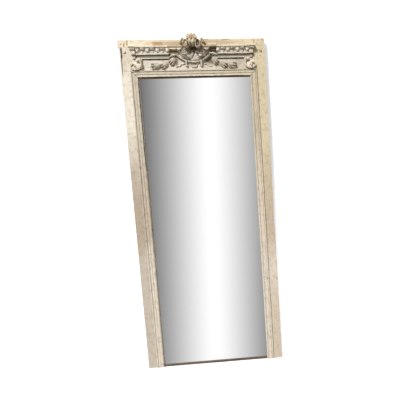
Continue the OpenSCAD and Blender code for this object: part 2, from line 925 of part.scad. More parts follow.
module left_husk_2() {
    color(stone) on_left() husk(174, 47, -32, 0.9);
}

module left_husk_3() {
    color(stone) on_left() husk(225, 33, -8, 1);
}

left_stile();
right_stile();
top_rail();
transom_rail();
foot_rail();
joint_pegs();
frieze_panel();
frieze_batten();
left_console_block();
right_console_block();
left_moulding();
right_moulding();
top_moulding();
mirror_glass();
silvering();
glass_wedges();
back_board_1();
back_board_2();
back_board_3();
back_board_4();
back_board_5();
back_board_6();
back_nails();
left_cap();
right_cap();
left_egg_band();
right_egg_band();
left_bed();
right_bed();
left_console();
right_console();
left_bud();
right_bud();
shield();
crest_scroll();
crest_flower();
left_ear();
right_ear();
bow();
ribbon_loop();
left_ribbon();
right_ribbon();
torch();
quiver();
left_leaf();
right_leaf();
left_husk_1();
left_husk_2();
left_husk_3();
right_husk_1();
right_husk_2();
right_husk_3();
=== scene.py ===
"""Looks of a tall painted trumeau mirror: worn cream paint on boards and mouldings, a carved frieze
with an egg-and-leaf cornice, scroll consoles, husk garlands and a trophy, and old mirror glass.

Carved pieces are drawn in millimetres in the frame's own axes and become meshes in metres.
"""
import logging
import math
from dataclasses import dataclass, replace
from enum import Enum
from typing import Sequence

import bmesh
import bpy
import numpy as np
from mathutils import Matrix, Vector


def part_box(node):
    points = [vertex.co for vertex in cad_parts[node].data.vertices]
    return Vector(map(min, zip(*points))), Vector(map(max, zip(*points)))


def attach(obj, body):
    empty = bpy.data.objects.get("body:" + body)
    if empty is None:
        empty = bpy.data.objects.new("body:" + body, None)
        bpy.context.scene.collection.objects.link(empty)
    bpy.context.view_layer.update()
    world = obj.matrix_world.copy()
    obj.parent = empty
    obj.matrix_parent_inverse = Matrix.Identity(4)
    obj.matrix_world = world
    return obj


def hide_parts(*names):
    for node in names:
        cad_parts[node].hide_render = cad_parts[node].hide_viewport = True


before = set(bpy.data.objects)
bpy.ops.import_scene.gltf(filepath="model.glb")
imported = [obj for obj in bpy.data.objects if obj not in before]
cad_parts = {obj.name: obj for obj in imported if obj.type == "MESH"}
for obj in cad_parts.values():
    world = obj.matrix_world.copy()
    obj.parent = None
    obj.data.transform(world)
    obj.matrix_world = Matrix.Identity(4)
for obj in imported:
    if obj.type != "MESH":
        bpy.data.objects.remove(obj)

Colour = tuple[float, float, float]
Point = tuple[float, float]
Line = tuple[Point, ...]
Place = tuple[float, float, float]
Station = tuple[float, float, float]
Array = np.ndarray
Material = bpy.types.Material
Socket = bpy.types.NodeSocket

LOG = logging.getLogger("mirror")
MM = 0.001
BODY = "root"
TINY = 1e-9
WELD = 2e-6
CREASE = 50.0
CURVE_STEPS = 24
WHITE = (1.0, 1.0, 1.0)
LEVELS = 255
SCREEN_KNEE, SCREEN_SLOPE, SCREEN_FOOT, SCREEN_POWER = 0.04045, 12.92, 0.055, 2.4


def tone(red: int, green: int, blue: int) -> Colour:
    """Turns a paint's colour of 0 to 255 into the renderer's linear values.

    Args:
        red: Red, 0 to 255.
        green: Green, 0 to 255.
        blue: Blue, 0 to 255.

    Returns:
        The colour in linear light.
    """
    parts = [c / LEVELS for c in (red, green, blue)]
    return tuple(c / SCREEN_SLOPE if c <= SCREEN_KNEE
                 else ((c + SCREEN_FOOT) / (1 + SCREEN_FOOT)) ** SCREEN_POWER for c in parts)


@dataclass(frozen=True)
class Places:
    """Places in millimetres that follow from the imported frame."""

    front_y: float
    panel_y: float
    glass_y: float
    rail_z: float
    frieze_z: float
    bed_z: float
    band_z: float
    band_top: float

    @classmethod
    def read(cls) -> "Places":
        """Reads the places from the boxes of the frame's nodes.

        Returns:
            The places.
        """
        low = lambda node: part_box(node)[0] / MM
        high = lambda node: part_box(node)[1] / MM
        return cls(
            front_y=low("right_stile").y,
            panel_y=low("frieze_panel").y,
            glass_y=low("mirror_glass").y,
            rail_z=low("top_rail").z,
            frieze_z=low("right_console_block").z,
            bed_z=low("right_bed").z,
            band_z=high("right_bed").z,
            band_top=low("right_cap").z,
        )


@dataclass(frozen=True)
class Noise:
    """A noise: its waves per metre and its finer layers."""

    waves: float
    detail: float = 3.0
    roughness: float = 0.6


@dataclass(frozen=True)
class Layer:
    """The range over which a value comes in, and how much it then covers."""

    low: float
    high: float
    share: float = 1.0


@dataclass(frozen=True)
class Patch:
    """A place on the front where the paint is worn, stained or open, or where shade or shadow is painted in,
    in millimetres.
    """

    x: float
    z: float
    half_w: float
    half_h: float
    soft: float = 0.35


class Grain(Enum):
    """Which way the wood and the brush marks run."""

    UPRIGHT = (45.0, 45.0, 3.0)
    LEVEL = (3.0, 45.0, 45.0)
    CARVED = (22.0, 22.0, 22.0)


class Graph:
    """A node tree, with short calls for the nodes that the finishes and the studio share."""

    noise_middle = 0.5
    squareness = 4.0
    ragged_reach = 1.2

    def __init__(self, owner: Material | bpy.types.World, place: str = "Object") -> None:
        """Opens the owner's node tree and takes its coordinates apart.

        Args:
            owner: The material or the world.
            place: Which coordinates it reads.
        """
        owner.use_nodes = True
        self.tree = owner.node_tree
        self.shader = self.tree.nodes.get("Principled BSDF")
        self.place = self.new("ShaderNodeTexCoord").outputs[place]
        apart = self.new("ShaderNodeSeparateXYZ")
        self.link(self.place, apart.inputs[0])
        self.x, _, self.z = apart.outputs

    def new(self, kind: str, **settings: object) -> bpy.types.Node:
        """Adds a node and sets its properties.

        Args:
            kind: The node's type name.
            settings: Property values.

        Returns:
            The new node.
        """
        node = self.tree.nodes.new(kind)
        for name, value in settings.items():
            setattr(node, name, value)
        return node

    def link(self, source: object, target: Socket) -> None:
        """Joins a socket to an input, or writes a plain value into it.

        Args:
            source: An output socket, a number or a colour.
            target: The input socket.
        """
        if isinstance(source, Socket):
            self.tree.links.new(source, target)
        elif isinstance(source, tuple) and target.type == "RGBA":
            target.default_value = (*source, 1.0)
        else:
            target.default_value = source

    def math(self, operation: str, a: object, b: object = 0.0, clamp: bool = False) -> Socket:
        """One Math node.

        Args:
            operation: The node's operation.
            a: First value.
            b: Second value.
            clamp: Whether the result stays from 0 to 1.

        Returns:
            The result's socket.
        """
        node = self.new("ShaderNodeMath", operation=operation, use_clamp=clamp)
        self.link(a, node.inputs[0])
        self.link(b, node.inputs[1])
        return node.outputs[0]

    def plus(self, a: object, b: object) -> Socket:
        """Sum of two values."""
        return self.math("ADD", a, b)

    def less(self, a: object, b: object) -> Socket:
        """First value less the second."""
        return self.math("SUBTRACT", a, b)

    def times(self, a: object, b: object) -> Socket:
        """Product of two values."""
        return self.math("MULTIPLY", a, b)

    def over(self, a: object, b: object) -> Socket:
        """First value over the second."""
        return self.math("DIVIDE", a, b)

    def size(self, a: object) -> Socket:
        """A value without its sign."""
        return self.math("ABSOLUTE", a)

    def blend(self, share: object, a: object, b: object, mode: str = "MIX") -> Socket:
        """One colour mix.

        Args:
            share: How much of b.
            a: First colour.
            b: Second colour.
            mode: The blend mode.

        Returns:
            The mixed colour's socket.
        """
        node = self.new("ShaderNodeMix", data_type="RGBA", blend_type=mode, clamp_factor=True)
        factor, _, _, _, _, _, first, second = node.inputs[:8]
        self.link(share, factor)
        self.link(a, first)
        self.link(b, second)
        return node.outputs[2]

    def cover(self, base: object, value: Socket, layer: Layer, colour: Colour, mode: str = "MIX") -> Socket:
        """Lays a colour over another where a value comes into a layer's range.

        Args:
            base: The colour underneath.
            value: The value that decides.
            layer: Its range and the share it covers at most.
            colour: The colour on top.
            mode: The blend mode.

        Returns:
            The covered colour's socket.
        """
        return self.blend(self.times(self.step(value, layer), layer.share), base, colour, mode)

    def stretched(self, scale: Sequence[float]) -> Socket:
        """The coordinates, stretched.

        Args:
            scale: A factor along each axis.

        Returns:
            The stretched coordinates.
        """
        node = self.new("ShaderNodeMapping")
        self.link(self.place, node.inputs["Vector"])
        node.inputs["Scale"].default_value = scale
        return node.outputs[0]

    def noise(self, kind: Noise, place: Socket | None = None) -> Socket:
        """A noise from 0 to 1.

        Args:
            kind: Its waves and layers.
            place: Coordinates, or None for the tree's own.

        Returns:
            The noise's value.
        """
        node = self.new("ShaderNodeTexNoise")
        self.link(place or self.place, node.inputs["Vector"])
        node.inputs["Scale"].default_value = kind.waves
        node.inputs["Detail"].default_value = kind.detail
        node.inputs["Roughness"].default_value = kind.roughness
        return node.outputs["Fac"]

    def step(self, value: object, layer: Layer, low: object = 0.0, high: object = 1.0,
             shape: str = "SMOOTHSTEP") -> Socket:
        """Carries a value from a layer's range over to another range.

        Args:
            value: The value.
            layer: The range it comes from.
            low: The result at the range's low end and below it.
            high: The result at its high end and above it.
            shape: How it rises from one to the other.

        Returns:
            The result's socket.
        """
        node = self.new("ShaderNodeMapRange", interpolation_type=shape)
        for source, name in ((value, "Value"), (layer.low, "From Min"), (layer.high, "From Max"),
                             (low, "To Min"), (high, "To Max")):
            self.link(source, node.inputs[name])
        return node.outputs["Result"]

    def patch(self, patch: Patch, ragged: Socket) -> Socket:
        """A patch on the front, with ragged edges.

        Args:
            patch: Its place and size.
            ragged: A noise that moves the patch's edge.

        Returns:
            1 inside the patch and 0 outside.
        """
        across = self.over(self.size(self.less(self.x, patch.x * MM)), patch.half_w * MM)
        up = self.over(self.size(self.less(self.z, patch.z * MM)), patch.half_h * MM)
        total = self.plus(*(self.math("POWER", part, self.squareness) for part in (across, up)))
        reach = self.math("POWER", total, 1 / self.squareness)
        shifted = self.plus(reach, self.times(self.less(ragged, self.noise_middle), self.ragged_reach))
        return self.less(1.0, self.step(shifted, Layer(1.0 - patch.soft, 1.0 + patch.soft)))

    def relief(self, height: Socket, distance: float, strength: float = 1.0) -> None:
        """Drives the shader's normal with a bump.

        Args:
            height: Height from 0 to 1.
            distance: What a height of 1 stands for, in metres.
            strength: Strength of the bump.
        """
        bump = self.new("ShaderNodeBump")
        bump.inputs["Strength"].default_value = strength
        bump.inputs["Distance"].default_value = distance
        self.link(height, bump.inputs["Height"])
        self.link(bump.outputs[0], self.shader.inputs["Normal"])

    def light_only(self, surface: Socket) -> None:
        """Shows a shader in place of the material's principled one."""
        self.tree.nodes.remove(self.shader)
        self.link(surface, self.tree.nodes["Material Output"].inputs["Surface"])


@dataclass(frozen=True)
class Ageing:
    """How old paint changes with height, side and noise: the same for every paint."""

    cloud: Noise = Noise(3.2, 4.0)
    mottle: Noise = Noise(34.0, 4.0)
    brush: Noise = Noise(4.0, 4.0)
    speck: Noise = Noise(150.0, 2.0)
    ragged: Noise = Noise(70.0, 3.0)
    chip: Noise = Noise(52.0, 5.0)
    rub: Noise = Noise(26.0, 3.0)
    drift: float = 0.5
    side_drift: float = 0.2
    to_right: Layer = Layer(-0.1, 0.75)
    to_middle: Layer = Layer(0.72, 1.0)
    to_upper: Layer = Layer(1.28, 1.74)
    to_warm: Layer = Layer(0.9, 2.0, 0.85)
    blushing: Layer = Layer(0.5, 0.72, 0.22)
    mottling: Layer = Layer(0.45, 0.72, 0.27)
    brushing: Layer = Layer(0.48, 0.78, 0.26)
    speckling: Layer = Layer(0.6, 0.74, 0.17)
    chipping: Layer = Layer(0.685, 0.725)
    rubbing: Layer = Layer(0.5, 0.62)
    worn_cover: float = 0.85
    dark_cover: float = 0.9
    open_joint: Layer = Layer(0.0009, 0.0028, 0.8)
    fibres: Layer = Layer(0.35, 0.7, 0.55)
    facing_back: Layer = Layer(0.6, 0.9)
    hollowness: Layer = Layer(0.34, 0.84)
    samples: int = 6
    edge_radius: float = 0.0028
    flat: Layer = Layer(0.82, 0.985)
    gloss: float = 0.28
    rough: float = 0.52
    rough_mottle: float = 0.22
    rough_worn: float = 0.12
    flakes: float = 60.0
    crack: Layer = Layer(0.0, 0.04)
    brush_height: float = 0.6
    mottle_height: float = 0.5
    crack_height: float = 0.12
    depth: float = 0.0012
    strength: float = 0.6


AGE = Ageing()


@dataclass(frozen=True)
class PaintFinish:
    """Old cream paint whose colour changes with height and side, worn at the edges, and darker in the
    hollows, partly from grime and partly as painted shade.
    """

    name: str
    upper: Colour = tone(246, 234, 210)
    middle: Colour = tone(214, 196, 170)
    lower: Colour = tone(228, 214, 194)
    warm: Colour = tone(232, 214, 176)
    pink: Colour = tone(228, 208, 182)
    bare: Colour = tone(206, 160, 112)
    # Colour of the darkened hollows, the dark patches and open joints; in the hollows and most patches it is
    # painted shade, partly grime.
    dirt_and_shade: Colour = tone(58, 41, 26)
    board: Colour = tone(178, 143, 102)
    stain: Colour = tone(108, 84, 56)
    chip: Colour = tone(142, 104, 72)
    chips: float = 0.0
    grain: Grain = Grain.UPRIGHT
    hollow: float = 0.012
    # Share of the darker colour in the hollows, which stands partly for grime and partly for painted shade.
    dirt_and_shade_amount: float = 0.75
    edge_wear: float = 0.5
    # Tan patches: on the boards they darken the paint's tone; on the panel, cornice, shield and staffs they
    # are painted shade and painted shadow.
    tan: Colour = tone(192, 168, 132)
    tan_cover: float = 0.5
    tan_and_shade_patches: tuple[Patch, ...] = ()
    worn: tuple[Patch, ...] = ()
    # Dark patches: painted shadow lines and painted shade under projecting parts, and a few dark lines and
    # spots on the stiles and rail.
    dark: tuple[Patch, ...] = ()
    mitre: Point | None = None

    def build(self) -> Material:
        """Makes the material.

        Returns:
            The material.
        """
        material = bpy.data.materials.new(self.name)
        g = Graph(material)
        cloud = g.noise(AGE.cloud)
        mottle = g.noise(AGE.mottle)
        brush = g.noise(AGE.brush, g.stretched(self.grain.value))
        base = self._toned_by_height_and_side(g, cloud, mottle)
        base = g.cover(base, cloud, AGE.blushing, self.pink)
        base = g.cover(base, mottle, AGE.mottling, self.stain)
        base = g.cover(base, brush, AGE.brushing, self.stain)
        base = g.cover(base, g.noise(AGE.speck), AGE.speckling, self.stain)
        lost = g.step(g.noise(AGE.chip), AGE.chipping)
        base = g.blend(g.times(lost, self.chips), base, self.chip)
        ragged = g.noise(AGE.ragged)
        # Tan patches: painted shade and painted shadow on the carved frieze, a darker paint tone on the
        # boards.
        base = self._patched(g, base, self.tan_and_shade_patches, cloud, self.tan_cover, self.tan)
        base = self._patched(g, base, self.worn, ragged, AGE.worn_cover, self.bare)
        rubbed = g.times(self._edge(g), g.step(g.noise(AGE.rub), AGE.rubbing))
        worn_edge = g.math("MULTIPLY", rubbed, self.edge_wear, clamp=True)
        base = g.blend(worn_edge, base, self.bare)
        # Dark patches, most of them painted shadow lines and painted shade.
        base = self._patched(g, base, self.dark, ragged, AGE.dark_cover, self.dirt_and_shade)
        if self.mitre is not None:
            base = self._jointed(g, base)
        base = self._bare_back(g, base, brush)
        # Hollows found by ambient occlusion take the darker colour: partly grime, partly painted shade where
        # little light reaches.
        g.link(g.blend(self._dirt_and_shade_in_hollows(g), base, self.dirt_and_shade), g.shader.inputs["Base Color"])
        rough = g.plus(AGE.rough, g.times(mottle, AGE.rough_mottle))
        g.link(g.plus(rough, g.times(worn_edge, AGE.rough_worn)), g.shader.inputs["Roughness"])
        g.shader.inputs["Specular IOR Level"].default_value = AGE.gloss
        self._crackled(g, brush, mottle)
        return material

    def _toned_by_height_and_side(self, g: Graph, cloud: Socket, mottle: Socket) -> Socket:
        """Lays the paint's colours over one another from the foot to the top.

        Args:
            g: Its node tree.
            cloud: A wide noise that moves the borders.
            mottle: A fine noise that moves the warm side's border.

        Returns:
            The colour.
        """
        height = g.plus(g.z, g.times(g.less(cloud, g.noise_middle), AGE.drift))
        by_side = g.step(g.plus(g.x, g.times(mottle, AGE.side_drift)), AGE.to_right)
        base = g.blend(g.step(height, AGE.to_middle), self.lower, self.middle)
        base = g.blend(g.step(height, AGE.to_upper), base, self.upper)
        turned_warm = g.times(by_side, g.step(height, AGE.to_warm))
        return g.blend(g.times(turned_warm, AGE.to_warm.share), base, self.warm)

    def _patched(self, g: Graph, base: Socket, patches: Sequence[Patch], ragged: Socket, share: float,
                 colour: Colour) -> Socket:
        """Lays a colour over some patches.

        Args:
            g: Its node tree.
            base: The colour underneath.
            patches: The patches.
            ragged: A noise that moves their edges.
            share: How much they cover.
            colour: Their colour.

        Returns:
            The colour.
        """
        for patch in patches:
            base = g.blend(g.times(g.patch(patch, ragged), share), base, colour)
        return base

    def _jointed(self, g: Graph, base: Socket) -> Socket:
        """Darkens the open mitre between two lengths of moulding.

        Args:
            g: Its node tree.
            base: The colour underneath.

        Returns:
            The colour.
        """
        across, up = self.mitre
        off = g.less(g.less(g.size(g.x), g.z), (across - up) * MM)
        closed = g.step(g.size(off), AGE.open_joint)
        return g.blend(g.times(g.less(1.0, closed), AGE.open_joint.share), base, self.dirt_and_shade)

    def _bare_back(self, g: Graph, base: Socket, brush: Socket) -> Socket:
        """Leaves the wood bare on faces that look back.

        Args:
            g: Its node tree.
            base: The paint's colour.
            brush: A noise along the grain.

        Returns:
            The colour.
        """
        facing = g.new("ShaderNodeSeparateXYZ")
        g.link(g.new("ShaderNodeNewGeometry").outputs["True Normal"], facing.inputs[0])
        fibres = g.cover(self.board, brush, AGE.fibres, self.stain)
        return g.blend(g.step(facing.outputs["Y"], AGE.facing_back), base, fibres)

    def _dirt_and_shade_in_hollows(self, g: Graph) -> Socket:
        """Finds the hollows.

        Args:
            g: Its node tree.

        Returns:
            How much the hollow is darkened, partly for grime and partly as painted shade, 0 on open faces.
        """
        shade = g.new("ShaderNodeAmbientOcclusion", samples=AGE.samples)
        shade.inputs["Distance"].default_value = self.hollow
        closed = g.less(1.0, shade.outputs["AO"])
        return g.math("MULTIPLY", g.step(closed, AGE.hollowness), self.dirt_and_shade_amount, clamp=True)

    def _edge(self, g: Graph) -> Socket:
        """Finds sharp edges, where a rounded normal departs from the true one.

        Args:
            g: Its node tree.

        Returns:
            1 on edges and 0 on flats.
        """
        rounded = g.new("ShaderNodeBevel", samples=AGE.samples)
        rounded.inputs["Radius"].default_value = AGE.edge_radius
        product = g.new("ShaderNodeVectorMath", operation="DOT_PRODUCT")
        g.link(rounded.outputs[0], product.inputs[0])
        g.link(g.new("ShaderNodeNewGeometry").outputs["Normal"], product.inputs[1])
        return g.less(1.0, g.step(product.outputs["Value"], AGE.flat))

    def _crackled(self, g: Graph, brush: Socket, mottle: Socket) -> None:
        """Raises brush marks, blisters and crackle.

        Args:
            g: Its node tree.
            brush: A noise along the grain.
            mottle: A fine noise.
        """
        flakes = g.new("ShaderNodeTexVoronoi", feature="DISTANCE_TO_EDGE")
        g.link(g.place, flakes.inputs["Vector"])
        flakes.inputs["Scale"].default_value = AGE.flakes
        crackle = g.step(flakes.outputs["Distance"], AGE.crack)
        height = g.plus(g.times(brush, AGE.brush_height), g.times(mottle, AGE.mottle_height))
        g.relief(g.plus(height, g.times(crackle, AGE.crack_height)), AGE.depth, AGE.strength)


@dataclass(frozen=True)
class WoodFinish:
    """Bare or stained softwood with its grain along one axis."""

    name: str
    light: Colour
    dark: Colour
    grain: Grain = Grain.LEVEL
    shine: float = 0.25
    fibre: Noise = Noise(6.0, 6.0)
    fine: Noise = Noise(14.0, 4.0)
    cloud: Noise = Noise(3.0, 3.0)
    longer: float = 0.6
    fibres: Layer = Layer(0.3, 0.7)
    clouding: Layer = Layer(0.4, 0.7, 0.4)
    fine_share: float = 0.3
    rough: Point = (0.6, 0.25)
    depth: float = 0.0008
    strength: float = 0.5

    def build(self) -> Material:
        """Makes the material.

        Returns:
            The material.
        """
        material = bpy.data.materials.new(self.name)
        g = Graph(material)
        fibres = g.noise(self.fibre, g.stretched([c * self.longer for c in self.grain.value]))
        fine = g.noise(self.fine, g.stretched(self.grain.value))
        base = g.blend(g.step(fibres, self.fibres), self.light, self.dark)
        base = g.cover(base, g.noise(self.cloud), self.clouding, self.dark, "MULTIPLY")
        g.link(g.blend(g.times(fine, self.fine_share), base, self.light), g.shader.inputs["Base Color"])
        g.link(g.plus(self.rough[0], g.times(fine, self.rough[1])), g.shader.inputs["Roughness"])
        g.shader.inputs["Specular IOR Level"].default_value = self.shine
        g.relief(fibres, self.depth, self.strength)
        return material


@dataclass(frozen=True)
class MirrorFinish:
    """Silvered glass with a faint wave in it and a breath of haze."""

    name: str
    tint: Colour = (0.985, 0.987, 0.986)
    haze_tint: Colour = (0.8, 0.8, 0.78)
    haze: Noise = Noise(9.0, 3.0)
    hazing: Layer = Layer(0.45, 0.8)
    haze_share: float = 0.04
    rough: Point = (0.03, 0.02)
    wave: Noise = Noise(2.5, 1.0)
    depth: float = 0.0002
    strength: float = 0.2

    def build(self) -> Material:
        """Makes the material.

        Returns:
            The material.
        """
        material = bpy.data.materials.new(self.name)
        g = Graph(material)
        g.shader.inputs["Metallic"].default_value = 1.0
        haze = g.step(g.noise(self.haze), self.hazing)
        g.link(g.blend(g.times(haze, self.haze_share), self.tint, self.haze_tint),
               g.shader.inputs["Base Color"])
        g.link(g.plus(self.rough[0], g.times(haze, self.rough[1])), g.shader.inputs["Roughness"])
        g.relief(g.noise(self.wave), self.depth, self.strength)
        return material


@dataclass(frozen=True)
class MetalFinish:
    """Hand-made iron or the painted back of the silvering."""

    name: str
    light: Colour
    dark: Colour
    metallic: float
    roughness: float
    rust: Noise = Noise(160.0, 4.0)
    rusting: Layer = Layer(0.4, 0.65)
    rust_rough: float = 0.2
    cloud: Noise = Noise(8.0, 4.0)
    clouding: Layer = Layer(0.4, 0.7, 0.4)
    depth: float = 0.0003
    strength: float = 0.4

    def build(self) -> Material:
        """Makes the material.

        Returns:
            The material.
        """
        material = bpy.data.materials.new(self.name)
        g = Graph(material)
        rust = g.step(g.noise(self.rust), self.rusting)
        base = g.blend(rust, self.light, self.dark)
        g.link(g.cover(base, g.noise(self.cloud), self.clouding, self.dark), g.shader.inputs["Base Color"])
        g.shader.inputs["Metallic"].default_value = self.metallic
        g.link(g.plus(self.roughness, g.times(rust, self.rust_rough)), g.shader.inputs["Roughness"])
        g.relief(rust, self.depth, self.strength)
        return material


class Carving:
    """Closed shells in millimetres that together make one carved piece."""

    def __init__(self) -> None:
        """Starts with no shells."""
        self.points: list[Array] = []
        self.faces: list[tuple[int, ...]] = []
        self.count = 0

    def add(self, points: Array, faces: Sequence[Sequence[int]]) -> None:
        """Adds one shell.

        Args:
            points: Its corners, one row each.
            faces: Its faces, as numbers of corners.
        """
        self.faces += [tuple(int(i) + self.count for i in f) for f in faces]
        self.points.append(np.asarray(points, float).reshape(-1, 3))
        self.count += len(self.points[-1])

    def loft(self, rings: Array) -> None:
        """Adds a shell through closed rings, with a flat end on the first and the last.

        Args:
            rings: Corners of every ring, shaped (rings, corners, 3).
        """
        m, n = rings.shape[:2]
        faces: list[Sequence[int]] = []
        for k in range(m - 1):
            for i in range(n):
                j = (i + 1) % n
                faces.append((k * n + i, (k + 1) * n + i, (k + 1) * n + j, k * n + j))
        faces.append(range(n))
        faces.append(range(m * n - 1, (m - 1) * n - 1, -1))
        self.add(rings, faces)

    def sheet(self, front: Array, back_y: float | Array) -> None:
        """Adds a shell with a carved front and a flat back.

        Args:
            front: Corners of the front, shaped (rows, columns, 3).
            back_y: Depth of the flat back, one number or one for each corner.
        """
        m, n = front.shape[:2]
        back = front.copy()
        back[..., 1] = back_y
        at = lambda i, j: i * n + j
        faces: list[Sequence[int]] = []
        for i in range(m - 1):
            for j in range(n - 1):
                faces.append((at(i, j), at(i, j + 1), at(i + 1, j + 1), at(i + 1, j)))
                faces.append(tuple(m * n + c for c in
                                   (at(i, j), at(i + 1, j), at(i + 1, j + 1), at(i, j + 1))))
        edge = [at(0, j) for j in range(n)] + [at(i, n - 1) for i in range(1, m)]
        edge += [at(m - 1, j) for j in range(n - 2, -1, -1)] + [at(i, 0) for i in range(m - 2, 0, -1)]
        for a, b in zip(edge, edge[1:] + edge[:1]):
            faces.append((a, a + m * n, b + m * n, b))
        self.add(np.concatenate([front.reshape(-1, 3), back.reshape(-1, 3)]), faces)

    def mirrored(self) -> "Carving":
        """The same piece on the other side of the middle.

        Returns:
            The mirrored piece.
        """
        other = Carving()
        flip = np.array([-1.0, 1.0, 1.0])
        other.points = [p * flip for p in self.points]
        other.faces = [tuple(reversed(f)) for f in self.faces]
        other.count = self.count
        return other

    def take(self, other: "Carving") -> None:
        """Adds all the shells of another piece.

        Args:
            other: The other piece.
        """
        self.faces += [tuple(i + self.count for i in f) for f in other.faces]
        self.points += other.points
        self.count += other.count

    def mesh(self, name: str) -> bpy.types.Mesh:
        """Makes a plain mesh in metres from all the shells.

        Args:
            name: Its name.

        Returns:
            The mesh.
        """
        mesh = bpy.data.meshes.new(name)
        mesh.from_pydata((np.concatenate(self.points) * MM).tolist(), [], self.faces)
        return mesh

    def finish(self, node: str, material: Material) -> None:
        """Makes the mesh object, cleans it and gives it to the frame.

        Args:
            node: Name of the frame's node that it stands for.
            material: Its material.
        """
        mesh = self.mesh(node + "_carved")
        mesh.validate()
        work = bmesh.new()
        work.from_mesh(mesh)
        bmesh.ops.remove_doubles(work, verts=work.verts, dist=WELD)
        bmesh.ops.recalc_face_normals(work, faces=work.faces)
        work.to_mesh(mesh)
        work.free()
        mesh.shade_smooth()
        mesh.set_sharp_from_angle(angle=math.radians(CREASE))
        mesh.materials.clear()
        mesh.materials.append(material)
        piece = bpy.data.objects.new(mesh.name, mesh)
        bpy.context.scene.collection.objects.link(piece)
        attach(piece, BODY)
        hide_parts(node)
        LOG.info("%s: %d faces", piece.name, len(mesh.polygons))


def headings(path: Array) -> Array:
    """Direction of a path at each of its points.

    Args:
        path: Points in the plane, one row each.

    Returns:
        Unit vectors, one row each.
    """
    ahead = np.gradient(path, axis=0)
    return ahead / np.maximum(np.linalg.norm(ahead, axis=1, keepdims=True), TINY)


def curve(corners: Sequence[Point], count: int) -> Array:
    """A smooth curve through a few corners.

    Args:
        corners: The points it passes through.
        count: How many points to return.

    Returns:
        Points evenly spaced along the curve.
    """
    p = np.asarray(corners, float)
    p = np.vstack([2 * p[0] - p[1], p, 2 * p[-1] - p[-2]])
    dense = []
    for k in range(1, len(p) - 2):
        t = np.linspace(0, 1, CURVE_STEPS, endpoint=k == len(p) - 3)[:, None]
        a, b, c, d = p[k - 1:k + 3]
        dense.append(0.5 * (2 * b + (c - a) * t + (2 * a - 5 * b + 4 * c - d) * t ** 2
                            + (3 * b - a - 3 * c + d) * t ** 3))
    dense = np.vstack(dense)
    run = np.concatenate([[0], np.cumsum(np.linalg.norm(np.diff(dense, axis=0), axis=1))])
    at = np.linspace(0, run[-1], count)
    return np.stack([np.interp(at, run, dense[:, 0]), np.interp(at, run, dense[:, 1])], 1)


def profile(stations: Sequence[Point], at: Array) -> Array:
    """A smooth curve of one value over another, through a few stations.

    Args:
        stations: Pairs of place and value.
        at: Places to read.

    Returns:
        The values at those places.
    """
    x, v = np.array(stations, float).T
    k = np.clip(np.searchsorted(x, at) - 1, 0, len(x) - 2)
    slope = np.gradient(v, x)
    span = x[k + 1] - x[k]
    t = np.clip((at - x[k]) / span, 0, 1)
    return ((2 * t ** 3 - 3 * t ** 2 + 1) * v[k] + (t ** 3 - 2 * t ** 2 + t) * span * slope[k]
            + (3 * t ** 2 - 2 * t ** 3) * v[k + 1] + (t ** 3 - t ** 2) * span * slope[k + 1])


def straight(stations: Sequence[Point], at: Array) -> Array:
    """Straight runs of one value over another, from station to station."""
    return np.interp(at, *zip(*stations))


def part(value: Array, start: float, span: float) -> Array:
    """How far a value has come from a start along a span, from 0 to 1."""
    return np.clip((value - start) / span, 0, 1)


def ramp(value: Array, middle: float, width: float) -> Array:
    """A soft rise from 0 to 1 about a middle, or a fall if the width is negative."""
    return 1 / (1 + np.exp(-(value - middle) / width))


@dataclass(frozen=True)
class Ripple:
    """A soft ridge, or a groove if its height is negative."""

    place: float
    width: float
    height: float

    def at(self, value: Array) -> Array:
        """Its height at some places."""
        return self.height * np.exp(-((value - self.place) / self.width) ** 2)


HALF_ROUND = [(math.cos(a), math.sin(a)) for a in np.linspace(math.pi, 0, 13)]
SHALLOW = [(-1, 0), (-1, 0.85), (-0.9, 0.95), (-0.7, 1), (-0.45, 0.97), (-0.25, 0.88), (0, 0.85),
           (0.25, 0.88), (0.45, 0.97), (0.7, 1), (0.9, 0.95), (1, 0.85), (1, 0)]
RIDGE = [(-1, 0), (-0.96, 0.3), (-0.7, 0.62), (-0.35, 0.82), (-0.1, 0.98), (0.1, 0.98),
         (0.35, 0.82), (0.7, 0.62), (0.96, 0.3), (1, 0)]


def strap(path: Array, half_width: Array, height: Array, back_y: float,
          section: Sequence[Point]) -> Carving:
    """A carved strap along a path on the face of the work.

    Args:
        path: Points in the XZ plane.
        half_width: Half its width at each point.
        height: How far it stands off the back at each point.
        back_y: Depth of its flat back.
        section: Its section, across from -1 to 1 and up from 0 to 1.

    Returns:
        The strap.
    """
    ahead = headings(path)
    side = np.stack([-ahead[:, 1], ahead[:, 0]], 1)
    cut = np.asarray(section, float)
    place = path[:, None, :] + side[:, None, :] * (cut[None, :, :1] * half_width[:, None, None])
    depth = back_y - cut[None, :, 1] * height[:, None]
    made = Carving()
    made.loft(np.stack([place[..., 0], depth, place[..., 1]], 2))
    return made


